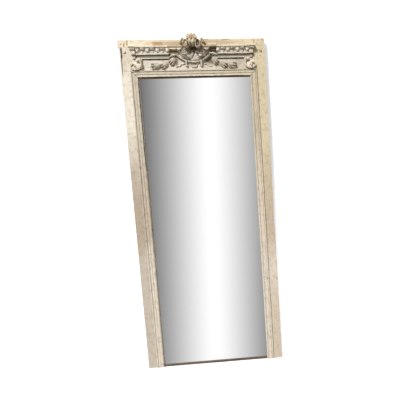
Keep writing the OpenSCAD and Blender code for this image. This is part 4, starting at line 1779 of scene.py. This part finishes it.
@dataclass(frozen=True)
class Trophy:
    """The carved trophy in the middle: shield, crest, flowers, bow, torch, quiver and ribbons."""

    places: Places
    material: Material
    others: dict[str, Material]
    thickness: float = 34.0
    flower_rise: float = 206.0
    petals: tuple[PetalRing, ...] = (PetalRing(7, 23.0, -60.0, 0.0, 1.62, 1.0),
                                     PetalRing(5, 13.0, -67.0, 25.0, 1.32, 3.0))
    bow_r: float = 152.0
    bow_rise: float = 53.0
    staff_start: float = 102.0
    staff_length: float = 55.0

    def up(self, rise: float) -> float:
        """Height over the floor of a point over the frieze's foot."""
        return self.places.frieze_z + rise

    def raised(self, corners: Sequence[Point]) -> list[Point]:
        """Corners over the frieze's foot as heights over the floor."""
        return [(x, self.up(z)) for x, z in corners]

    def flower(self) -> Carving:
        """Carves the rosette on top of the crest, with a sprig behind it.

        Returns:
            The rosette.
        """
        z = self.up(self.flower_rise)
        made = Carving()
        for ring in self.petals:
            reach, wide = ring.reach, ring.reach * ring.spread
            petal = LeafShape(reach * 0.4, reach * 0.42, edge=1.8, midrib=1.6, cup=0.35, rise=ring.rise,
                              belly=0.66)
            for k in range(ring.count):
                a = math.radians(360 / ring.count * k + 90 + ring.turn)
                path = curve([(0, z), (wide * 0.55 * math.cos(a), z + reach * 0.55 * math.sin(a)),
                              (wide * math.cos(a + 0.12), z + reach * math.sin(a + 0.12))], 16)
                made.take(petal.carve(path, ring.y, ring.y + 10))
        eye = [(0.1, 0), (5.4, 0), (5.0, 9), (3.0, 12), (0.1, 12.6)]
        made.take(facing(turned(eye, 20), 0, -64.0, z))
        sprig = [(0, 16, 0), (6, 26, 0.05), (18, 27, 0.08), (30, 17, 0.08), (36, 4, 0)]
        made.take(bell((0, z - 24), 90, sprig, 4, self.places.front_y, 1.15, 48, 20))
        return made

    def ear(self) -> Carving:
        """Carves the curled leaf at the right of the crest.

        Returns:
            The leaf.
        """
        y = self.places.front_y
        leaf = LeafShape(10.0, 24, edge=4, lobes=2, lobe_depth=0.12, midrib=1.0, cup=0.85)
        made = leaf.carve(curve(self.raised([(75, 172), (70, 182), (65, 195), (58, 208)]), 34), y, y)
        spur = LeafShape(5.0, 16, edge=3, midrib=1.0)
        made.take(spur.carve(curve(self.raised([(66, 178), (76, 174), (86, 173)]), 14), y, y))
        return made

    def bow(self) -> Carving:
        """Carves the bow that hangs under the shield, and its two tassels.

        Returns:
            The bow.
        """
        back = self.places.panel_y
        z = self.up(self.bow_rise)
        a = np.radians(np.linspace(-136, -44, 60))
        path = np.stack([self.bow_r * np.cos(a), z + self.bow_r + self.bow_r * np.sin(a)], 1)
        t = np.abs(np.linspace(-1, 1, len(a)))
        made = strap(path, 4.9 - 0.6 * t ** 3, 15 + 9 * t ** 2, back, SHALLOW)
        b = np.linspace(0, 1, 28)
        swing = np.sin(math.pi * b)
        for side in (-1, 1):
            foot = np.stack([side * (46 + 5 * swing), z + 8 - 36 * b], 1)
            made.take(strap(foot, 6.8 - 2.4 * b + 2.6 * b ** 4, 19 - 6 * b, back, SHALLOW))
            tie = np.stack([side * (38 + 26 * b), z + 4 + 10 * b - 6 * swing], 1)
            made.take(strap(tie, 3.4 - 1.0 * b, 11 - 4 * b, back, HALF_ROUND))
        return made

    def loop(self) -> Carving:
        """Carves the ribbon's loop under the bow.

        Returns:
            The loop.
        """
        z = self.bow_rise - 12
        turns = ((-20, 0), (-20, 9), (-16, 18), (0, 20), (16, 18), (20, 9), (20, 0))
        path = curve(self.raised([(x, z - drop) for x, drop in turns]), 60)
        return strap(path, np.full(60, 2.4), np.full(60, 8.0), self.places.panel_y, HALF_ROUND)

    def ribbon(self) -> Carving:
        """Carves the right-hand ribbon's tail.

        Returns:
            The tail.
        """
        t = np.linspace(0, 1, 50)
        z = self.up(self.bow_rise - 8)
        path = np.stack([62 + 58 * t, z - 25 * t - 2.4 * np.sin(4 * np.pi * t)], 1)
        return strap(path, 3.0 - 1.0 * t, 7 + 1.5 * np.cos(4 * np.pi * t), self.places.panel_y, RIDGE)

    def leaf(self, drop: float) -> Carving:
        """Carves the right-hand leaf beside the shield.

        Args:
            drop: How much lower than the other leaf it hangs.

        Returns:
            The leaf.
        """
        back = self.places.panel_y
        shape = LeafShape(9.5, 17, edge=4, lobes=4, midrib=1.6, veins=0.8, belly=0.4)
        line = ((104, 108), (122, 108), (142, 103), (163, 94))
        return shape.carve(curve(self.raised([(x, z - drop) for x, z in line]), 40), back, back)

    def staff(self, radius: float, rise: float, tilt: float, stand: float, ledge: float) -> Carving:
        """Carves the end of a torch or a quiver that passes behind the shield, to the right.

        Args:
            radius: Half its height.
            rise: Height of its axis over the frieze's foot.
            tilt: Slope of its axis in degrees.
            stand: How far it stands off the panel.
            ledge: Where its upper edge starts over its hollow side, as a share of the radius.

        Returns:
            The staff.
        """
        back = self.places.panel_y
        z, along = self.up(rise), self.staff_length * np.linspace(0, 1, 24)
        path = np.stack([self.staff_start + along, z + along * math.tan(math.radians(tilt))], 1)
        section = [(-1, 0), (-1, 0.62), (-0.94, 0.72), (-0.86, 0.7), (-0.8, 0.2), (0, 0.12), (ledge, 0.15),
                   (ledge + 0.06, 0.88), (ledge + 0.16, 0.98), (0.82, 1), (0.92, 0.96), (1, 0.8), (1, 0)]
        made = strap(path, np.full(24, radius), np.full(24, stand), back, section)
        end, reach = self.staff_start + self.staff_length - 1.6, radius * 0.96
        ring = curve([(end, z - reach), (end, z + reach)], 12)
        made.take(strap(ring, np.full(12, 1.6), np.full(12, stand * 0.8), back, HALF_ROUND))
        return made

    def build(self) -> None:
        """Makes every piece of the trophy."""
        pieces = {
            "shield": Shield().carve(self.places), "crest_flower": self.flower(),
            "crest_scroll": Crest().carve(self.places, self.places.panel_y - self.thickness),
            "bow": self.bow(), "ribbon_loop": self.loop(),
            "quiver": self.staff(radius=23, rise=145, tilt=3, stand=26, ledge=-0.04),
            "torch": self.staff(radius=15, rise=120, tilt=2, stand=22, ledge=0.6).mirrored(),
            "right_ear": self.ear(), "left_ear": self.ear().mirrored(),
            "right_ribbon": self.ribbon(), "left_ribbon": self.ribbon().mirrored(),
            "right_leaf": self.leaf(0.0), "left_leaf": self.leaf(8.0).mirrored()}
        for node, piece in pieces.items():
            piece.finish(node, self.others.get(node, self.material))


@dataclass(frozen=True)
class Dress:
    """One finish and the frame's nodes that wear it as they are."""

    finish: PaintFinish | WoodFinish | MirrorFinish | MetalFinish
    nodes: tuple[str, ...] = ()


FADED = PaintFinish(
    "faded_cream", edge_wear=0.35, mitre=(371.0, 2024.0), upper=tone(222, 212, 192),
    middle=tone(210, 197, 177), lower=tone(238, 227, 210), warm=tone(216, 202, 172))
GREY = PaintFinish(
    "grey_cream_carving", grain=Grain.CARVED, hollow=0.013, dirt_and_shade_amount=0.9, edge_wear=0.3,
    upper=tone(236, 228, 212), middle=tone(222, 214, 198), lower=tone(205, 196, 180),
    warm=tone(206, 196, 176), pink=tone(226, 212, 202))
CARVED_CREAM = PaintFinish("carved_cream", grain=Grain.CARVED, hollow=0.01)


def board_paints() -> list[Dress]:
    """Paints of the top rail, the stiles and the blocks behind the consoles.

    Returns:
        The paints and what wears them.
    """
    rail = PaintFinish(
        "cream_paint_rail", grain=Grain.LEVEL, chips=0.7, tan_cover=0.85, bare=tone(188, 144, 98),
        upper=tone(255, 243, 216), warm=tone(238, 220, 184),
        tan_and_shade_patches=(Patch(20, 2240, 320, 20, 0.6),),
        worn=(Patch(-228, 2242, 31, 13, 0.2), Patch(-425, 2253, 5, 15), Patch(-447, 2238, 5, 12),
              Patch(410, 2251, 4, 13), Patch(466, 2262, 6, 6), Patch(220, 2266, 24, 4),
              Patch(90, 2266, 20, 3)),
        dark=(Patch(430, 2225.5, 26, 1.2), Patch(-466, 2243, 4, 3)))
    left = PaintFinish(
        "cream_paint_left", chips=0.7, tan_cover=0.3, upper=tone(255, 246, 229),
        middle=tone(194, 179, 158), lower=tone(214, 202, 185),
        tan_and_shade_patches=(Patch(-430, 2150, 40, 60, 0.6),),
        worn=(Patch(-449, 2233, 5, 13), Patch(-479, 1100, 3, 45), Patch(-478, 880, 3, 20)),
        dark=(Patch(-467, 2188, 6.0, 38, 0.3), Patch(-470, 2110, 2.8, 70, 0.3), Patch(-447, 2069, 20, 0.7),
              Patch(-441, 2190, 3, 8)))
    right = PaintFinish(
        "cream_paint_right", chips=0.8, tan_cover=0.3, upper=tone(240, 227, 200),
        middle=tone(212, 195, 171), lower=tone(236, 223, 205),
        warm=tone(226, 210, 170), tan_and_shade_patches=(Patch(430, 160, 70, 300, 0.6),),
        worn=(Patch(476, 1250, 3, 14), Patch(474, 600, 4, 12), Patch(477, 900, 3, 18)),
        # The dark patch under the end of the cornice is a painted shadow of the cornice on the stile.
        dark=(Patch(456, 2186, 3.2, 7.5),))
    block = PaintFinish("cream_paint_blocks", hollow=0.02)
    return [Dress(left, ("left_stile",)), Dress(right, ("right_stile",)), Dress(rail, ("top_rail",)),
            Dress(block, ("left_console_block", "right_console_block"))]


def moulding_paints() -> list[Dress]:
    """Paints of the moulding round the glass, the frieze panel and the plain parts of the cornice.

    Returns:
        The paints and what wears them.
    """
    # The dark patch along the left sight edge is painted shade: the moulding's inner face in shadow and its
    # reflection in the glass.
    left = replace(FADED, name="cream_paint_moulding_left", hollow=0.006, dirt_and_shade_amount=0.12, chips=0.6,
                   dirt_and_shade=tone(32, 24, 20), dark=(Patch(-371, 1712, 3.6, 312, 0.12),))
    right = replace(FADED, name="cream_paint_moulding_right", hollow=0.006, dirt_and_shade_amount=0.4, chips=0.6,
                    dirt_and_shade=tone(98, 76, 48), middle=tone(236, 223, 203))
    # The dark patch along the lower edge of the top moulding is painted shade under the moulding.
    lintel = replace(FADED, name="cream_paint_lintel", grain=Grain.LEVEL, hollow=0.01, dirt_and_shade_amount=0.6,
                     dirt_and_shade=tone(40, 30, 24), dark=(Patch(0, 2025.5, 374, 3.4, 0.12),))
    # On the panel, the tan patches beside the bow are painted shadows of the trophy, and the dark lines are
    # painted shadow under the bed moulding.
    panel = replace(GREY, name="grey_cream_panel", grain=Grain.LEVEL, hollow=0.012, dirt_and_shade_amount=0.6,
                    edge_wear=0.0, warm=tone(186, 175, 156), tan=tone(96, 72, 46),
                    tan_cover=0.8,
                    tan_and_shade_patches=(Patch(108, 2146, 27, 30, 0.5), Patch(-117, 2130, 12, 26, 0.5)),
                    dark=(Patch(-230, 2145.0, 118, 3.6), Patch(230, 2145.0, 118, 3.6)))
    # The cap's paint is paler than the cornice under it, partly a painted highlight standing for its lit
    # upper edge.
    cap = PaintFinish("cream_paint_cap_highlight", grain=Grain.LEVEL, hollow=0.01, dirt_and_shade_amount=0.3, edge_wear=0.1,
                      upper=tone(255, 248, 226), warm=tone(252, 240, 210))
    # The tan band on the bed is painted shade in the cove under the egg band.
    cornice = replace(GREY, name="grey_cream_cornice", grain=Grain.LEVEL, hollow=0.014, edge_wear=0.25,
                      tan=tone(112, 98, 79), tan_cover=0.85,
                      tan_and_shade_patches=(Patch(0, 2163.5, 460, 8.5, 0.2),))
    return [Dress(left, ("left_moulding",)), Dress(right, ("right_moulding",)),
            Dress(lintel, ("top_moulding",)), Dress(panel, ("frieze_panel",)),
            Dress(cap, ("left_cap", "right_cap")), Dress(cornice, ("left_bed", "right_bed"))]


def carving_paints() -> list[Dress]:
    """Paints of the carved pieces, which no node of the frame wears as it is.

    Returns:
        The paints.
    """
    husk = replace(GREY, name="grey_cream_husks", hollow=0.009, dirt_and_shade_amount=0.85, edge_wear=0.2,
                   upper=tone(202, 191, 173), warm=tone(184, 170, 148))
    # The tan and dark patches on the shield are painted shade under the crest and in the hollow wings.
    shield = replace(GREY, name="grey_cream_shield", tan=tone(104, 88, 66), tan_cover=0.55,
                     tan_and_shade_patches=(Patch(-60, 2196, 27, 22, 0.5), Patch(64, 2196, 27, 20, 0.5),
                             Patch(6, 2190, 38, 15, 0.5), Patch(8, 2194, 26, 11, 0.5)),
                     dark=(Patch(4, 2208, 27, 11, 0.5),))
    # The tan patches on the torch and quiver are painted shade in the hollow under the upper ledge.
    staff = replace(GREY, name="grey_cream_staff", hollow=0.01, dirt_and_shade_amount=0.45,
                    upper=tone(244, 232, 202), warm=tone(232, 218, 184),
                    tan=tone(118, 95, 62), tan_cover=0.9,
                    tan_and_shade_patches=(Patch(130, 2203.5, 26, 10.0, 0.15), Patch(-130, 2189.5, 26, 10.0, 0.15)))
    eggs = replace(GREY, name="grey_cream_eggs", hollow=0.006, dirt_and_shade_amount=0.35, edge_wear=0.2,
                   upper=tone(252, 243, 226), warm=tone(224, 213, 190))
    # The strong darkening in the crest's hollows is painted shade, partly grime.
    crest = replace(CARVED_CREAM, name="tan_cream_crest", hollow=0.013, dirt_and_shade_amount=0.95, edge_wear=0.4,
                    upper=tone(222, 208, 178), warm=tone(202, 187, 154))
    flower = replace(CARVED_CREAM, name="worn_paint_flower", dirt_and_shade_amount=0.8, edge_wear=1.0,
                     bare=tone(200, 142, 92), upper=tone(238, 222, 188),
                     warm=tone(222, 204, 166),
                     worn=(Patch(-34, 2278, 7, 8), Patch(27, 2287, 8, 6), Patch(38, 2262, 7, 7)))
    # The wide, strong darkening of the ears' hollows is partly grime and partly painted shade.
    ear = replace(CARVED_CREAM, name="dirty_shaded_paint_ears", hollow=0.03, dirt_and_shade_amount=1.0, edge_wear=0.6,
                  upper=tone(196, 178, 146), warm=tone(186, 168, 132))
    scrolls = replace(CARVED_CREAM, name="cream_paint_scrolls", hollow=0.007, dirt_and_shade_amount=0.6, edge_wear=0.2,
                      upper=tone(242, 233, 214), warm=tone(230, 220, 200))
    return [Dress(paint) for paint in (GREY, husk, shield, staff, eggs, crest, flower, ear, scrolls)]


def bare_finishes() -> list[Dress]:
    """Finishes of the bare wood, the glass and the nails.

    Returns:
        The finishes and what wears them.
    """
    wood = WoodFinish("bare_softwood", tone(186, 150, 108), tone(128, 94, 60))
    foot = WoodFinish("dark_softwood", tone(128, 110, 90), tone(70, 56, 44))
    silvering = MetalFinish("silvering_back", tone(150, 92, 70), tone(96, 58, 46), 0.0, 0.6)
    iron = MetalFinish("forged_iron", tone(98, 90, 84), tone(70, 44, 30), 0.85, 0.45)
    boards = tuple(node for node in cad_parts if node.startswith("back_board_"))
    return [Dress(wood, ("transom_rail", "joint_pegs", "frieze_batten", "glass_wedges", *boards)),
            Dress(foot, ("foot_rail",)), Dress(MirrorFinish("old_mirror"), ("mirror_glass",)),
            Dress(silvering, ("silvering",)), Dress(iron, ("back_nails",))]


class Finishes:
    """Every finish of the object, and which node wears which."""

    def __init__(self) -> None:
        """Builds the materials."""
        self.dresses = [*board_paints(), *moulding_paints(), *carving_paints(), *bare_finishes()]
        self.made = {dress.finish.name: dress.finish.build() for dress in self.dresses}

    def dress(self) -> None:
        """Gives every node that stays its material."""
        for dress in self.dresses:
            for node in dress.nodes:
                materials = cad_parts[node].data.materials
                materials.clear()
                materials.append(self.made[dress.finish.name])
                LOG.info("%s wears %s", node, dress.finish.name)


@dataclass(frozen=True)
class PhotoCamera:
    """The camera, found from the corners of the object in the photograph."""

    image: float = 400.0
    focal: float = 433.0
    shift: Point = (120.0, 34.0)
    yaw: float = 5.467
    pitch: float = 6.69
    roll: float = -2.576
    place: Place = (0.5055, -3.1377, 1.2714)
    sensor: float = 36.0

    def build(self) -> None:
        """Puts the camera in the scene."""
        a, b, c = (math.radians(v) for v in (self.yaw, self.pitch, self.roll))
        turn = np.array([[math.cos(a), -math.sin(a), 0], [math.sin(a), math.cos(a), 0], [0, 0, 1]])
        tip = np.array([[1, 0, 0], [0, math.cos(b), -math.sin(b)], [0, math.sin(b), math.cos(b)]])
        lean = np.array([[math.cos(c), 0, math.sin(c)], [0, 1, 0], [-math.sin(c), 0, math.cos(c)]])
        right, ahead, up = lean @ tip @ turn
        data = bpy.data.cameras.new("camera")
        data.sensor_width = self.sensor
        data.lens = self.focal / self.image * self.sensor
        data.shift_x = -self.shift[0] / self.image
        data.shift_y = self.shift[1] / self.image
        camera = bpy.data.objects.new("camera", data)
        camera.matrix_world = placed(right, up, -ahead, self.place)
        bpy.context.scene.collection.objects.link(camera)
        bpy.context.scene.camera = camera


def placed(right: Array, up: Array, back: Array, place: Sequence[float]) -> Matrix:
    """The place and turn of a camera or a lamp.

    Args:
        right: Direction of its right side.
        up: Direction of its upper side.
        back: Direction away from what it looks at.
        place: Where it stands.

    Returns:
        Its matrix.
    """
    return Matrix([list(row) for row in zip(right, up, back, place)] + [[0, 0, 0, 1]])


@dataclass(frozen=True)
class Sun:
    """A sun lamp: its power, its width in degrees and where it shines from."""

    name: str
    power: float
    width: float
    source: Place
    distance: float = 4.0

    def build(self) -> None:
        """Puts the lamp in the scene."""
        lamp = bpy.data.lights.new(self.name, "SUN")
        lamp.energy = self.power
        lamp.angle = math.radians(self.width)
        sun = bpy.data.objects.new(self.name, lamp)
        back = np.array(self.source) / np.linalg.norm(self.source)
        right = np.cross([0, 0, 1.0], back)
        right /= np.linalg.norm(right)
        sun.matrix_world = placed(right, np.cross(back, right), back, self.distance * back)
        bpy.context.scene.collection.objects.link(sun)


@dataclass(frozen=True)
class ReflectedField:
    """The pale field that shows only in the glass, with its brightest line near the middle.

    Its greys are set out over the glass, in metres, as they show from the camera's place.
    """

    y: float = -3.5
    half_width: float = 14.0
    low: float = -9.0
    high: float = 12.0
    glass_foot: float = 0.1
    glass_height: float = 1.89
    drift: float = 0.085
    reach: float = 0.445
    furthest: float = 1.05
    brightest: float = 1.02
    fall: float = 0.555
    bend: float = 1.42
    outside: float = 0.6
    outside_reach: float = 1.4
    outside_light: float = 0.5
    gamma: float = 2.2

    def material(self, eye: Place, glass_y: float) -> Material:
        """Makes its material.

        Args:
            eye: The camera's place.
            glass_y: Depth of the glass in metres.

        Returns:
            The material.
        """
        made = bpy.data.materials.new("reflected_field")
        g = Graph(made)
        behind = 2 * glass_y - eye[1]
        stretch = (behind - self.y) / (behind - glass_y)
        x = g.plus(g.over(g.less(g.x, eye[0]), stretch), eye[0])
        z = g.plus(g.over(g.less(g.z, eye[2]), stretch), eye[2])
        peak = g.times(g.over(g.less(z, self.glass_foot), self.glass_height), self.drift)
        off = g.size(g.less(x, peak))
        away = g.math("MINIMUM", g.over(off, self.reach), self.furthest)
        grey = g.less(self.brightest, g.times(g.math("POWER", away, self.bend), self.fall))
        beyond = g.step(off, Layer(self.outside, self.outside + self.outside_reach), shape="LINEAR")
        grey = g.plus(grey, g.times(beyond, self.outside_light))
        emit = g.new("ShaderNodeEmission")
        g.link(g.math("POWER", grey, self.gamma), emit.inputs["Strength"])
        g.light_only(emit.outputs[0])
        return made


@dataclass(frozen=True)
class Studio:
    """Floor, backdrop, the pale field that the glass reflects, and the lamps."""

    places: Places
    camera: PhotoCamera
    field: ReflectedField = ReflectedField()
    suns: tuple[Sun, ...] = (
        Sun("key", 3.25, 12.0, (-0.45, -1.0, 1.0)), Sun("fill", 0.25, 40.0, (1.0, -0.9, 0.1)),
        Sun("rear", 1.3, 30.0, (0.35, 1.0, 0.4)))
    sky: Layer = Layer(-0.55, 0.35)
    sky_light: Point = (0.05, 0.26)
    sky_tint: Colour = (1.0, 0.92, 0.82)
    backdrop_tint: Colour = (1.0, 1.02, 1.08)
    backdrop_rise: Layer = Layer(0.5, 1.7)
    floor_reach: float = 9.0
    floor_glow: Point = (0.76, 0.76)
    floor_white: float = 0.36
    wall_reach: float = 4.0
    wall_y: float = 0.001
    wall_lean: float = 0.0075
    wall_glow: Point = (0.77, 0.47)
    wall_white: float = 0.7

    def build(self) -> None:
        """Makes the studio."""
        self._world()
        self._floor()
        self._wall()
        self._card()
        for sun in self.suns:
            sun.build()

    def _plane(self, name: str, corners: Sequence[Place], material: Material) -> bpy.types.Object:
        """Makes one flat stage piece.

        Args:
            name: Its name.
            corners: Its four corners in metres.
            material: Its material.

        Returns:
            The object.
        """
        mesh = bpy.data.meshes.new(name)
        mesh.from_pydata(corners, [], [range(len(corners))])
        mesh.materials.append(material)
        plane = bpy.data.objects.new(name, mesh)
        bpy.context.scene.collection.objects.link(plane)
        return plane

    def _world(self) -> None:
        """White to the camera and in reflections, softer and from above as light on the object."""
        world = bpy.context.scene.world or bpy.data.worlds.new("studio")
        bpy.context.scene.world = world
        world.use_nodes = True
        world.node_tree.nodes.clear()
        g = Graph(world, "Generated")
        path = g.new("ShaderNodeLightPath").outputs
        seen = g.math("MAXIMUM", path["Is Camera Ray"], path["Is Glossy Ray"])
        seen = g.math("MAXIMUM", seen, path["Is Transmission Ray"])
        soft = g.step(g.z, self.sky, *self.sky_light, shape="LINEAR")
        back, out = g.new("ShaderNodeBackground"), g.new("ShaderNodeOutputWorld")
        g.link(g.blend(seen, self.sky_tint, WHITE), back.inputs["Color"])
        g.link(g.step(seen, Layer(0.0, 1.0), soft, 1.0, "LINEAR"), back.inputs["Strength"])
        g.link(back.outputs[0], out.inputs["Surface"])

    def _catcher(self, name: str, glow: Point, albedo: float, one_sided: bool) -> Material:
        """A white surface for the camera that keeps a soft shadow and lights nothing.

        Args:
            name: Its name.
            glow: Its own light, low down and high up.
            albedo: How much of the lamps' light it adds.
            one_sided: Whether it can be seen through from behind.

        Returns:
            The material.
        """
        material = bpy.data.materials.new(name)
        g = Graph(material)
        emit, diffuse = g.new("ShaderNodeEmission"), g.new("ShaderNodeBsdfDiffuse")
        g.link(g.step(g.z, self.backdrop_rise, *glow), emit.inputs["Strength"])
        g.link(self.backdrop_tint, emit.inputs["Color"])
        g.link((albedo, albedo, albedo), diffuse.inputs["Color"])
        both, choose = g.new("ShaderNodeAddShader"), g.new("ShaderNodeMixShader")
        g.link(emit.outputs[0], both.inputs[0])
        g.link(diffuse.outputs[0], both.inputs[1])
        share = g.new("ShaderNodeLightPath").outputs["Is Camera Ray"]
        if one_sided:
            behind = g.new("ShaderNodeNewGeometry").outputs["Backfacing"]
            share = g.math("SUBTRACT", share, behind, clamp=True)
        for source, socket in zip((share, g.new("ShaderNodeBsdfTransparent").outputs[0], both.outputs[0]),
                                  choose.inputs):
            g.link(source, socket)
        g.light_only(choose.outputs[0])
        return material

    def _floor(self) -> None:
        """A pale floor under the foot of the object."""
        r = self.floor_reach
        self._plane("floor", [(-r, -r, 0), (r, -r, 0), (r, r, 0), (-r, r, 0)],
                    self._catcher("floor_white", self.floor_glow, self.floor_white, False))

    def _wall(self) -> None:
        """A pale wall close behind, which leans back a little and keeps the drop shadow."""
        r, foot = self.wall_reach, self.wall_y
        head = foot + self.wall_lean * r
        self._plane("wall", [(-r, foot, 0), (r, foot, 0), (r, head, r), (-r, head, r)],
                    self._catcher("wall_white", self.wall_glow, self.wall_white, True))

    def _card(self) -> None:
        """The pale field in front, hidden from everything but the glass."""
        f = self.field
        corners = [(x, f.y, z) for x, z in ((-f.half_width, f.low), (f.half_width, f.low),
                                            (f.half_width, f.high), (-f.half_width, f.high))]
        material = f.material(self.camera.place, self.places.glass_y * MM)
        card = self._plane("reflected_field", corners, material)
        for ray in ("camera", "diffuse", "shadow", "transmission"):
            setattr(card, f"visible_{ray}", False)
        bpy.data.objects["floor"].visible_glossy = False


def main() -> None:
    """Builds the finishes, the carvings and the studio in order."""
    logging.basicConfig(level=logging.INFO, format="%(name)s: %(message)s")
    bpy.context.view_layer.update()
    bpy.context.scene.view_settings.view_transform = "Standard"
    places = Places.read()
    finishes = Finishes()
    finishes.dress()
    made = finishes.made
    Cornice(places, made["grey_cream_eggs"]).build()
    Consoles(places, made["cream_paint_scrolls"]).build()
    Garlands(places, made["grey_cream_husks"]).build()
    Trophy(places, made["grey_cream_carving"], {
        "shield": made["grey_cream_shield"], "crest_scroll": made["tan_cream_crest"],
        "crest_flower": made["worn_paint_flower"], "left_ear": made["dirty_shaded_paint_ears"],
        "right_ear": made["dirty_shaded_paint_ears"], "quiver": made["grey_cream_staff"],
        "torch": made["grey_cream_staff"]}).build()
    camera = PhotoCamera()
    camera.build()
    Studio(places, camera).build()


if __name__ == "__main__":
    main()
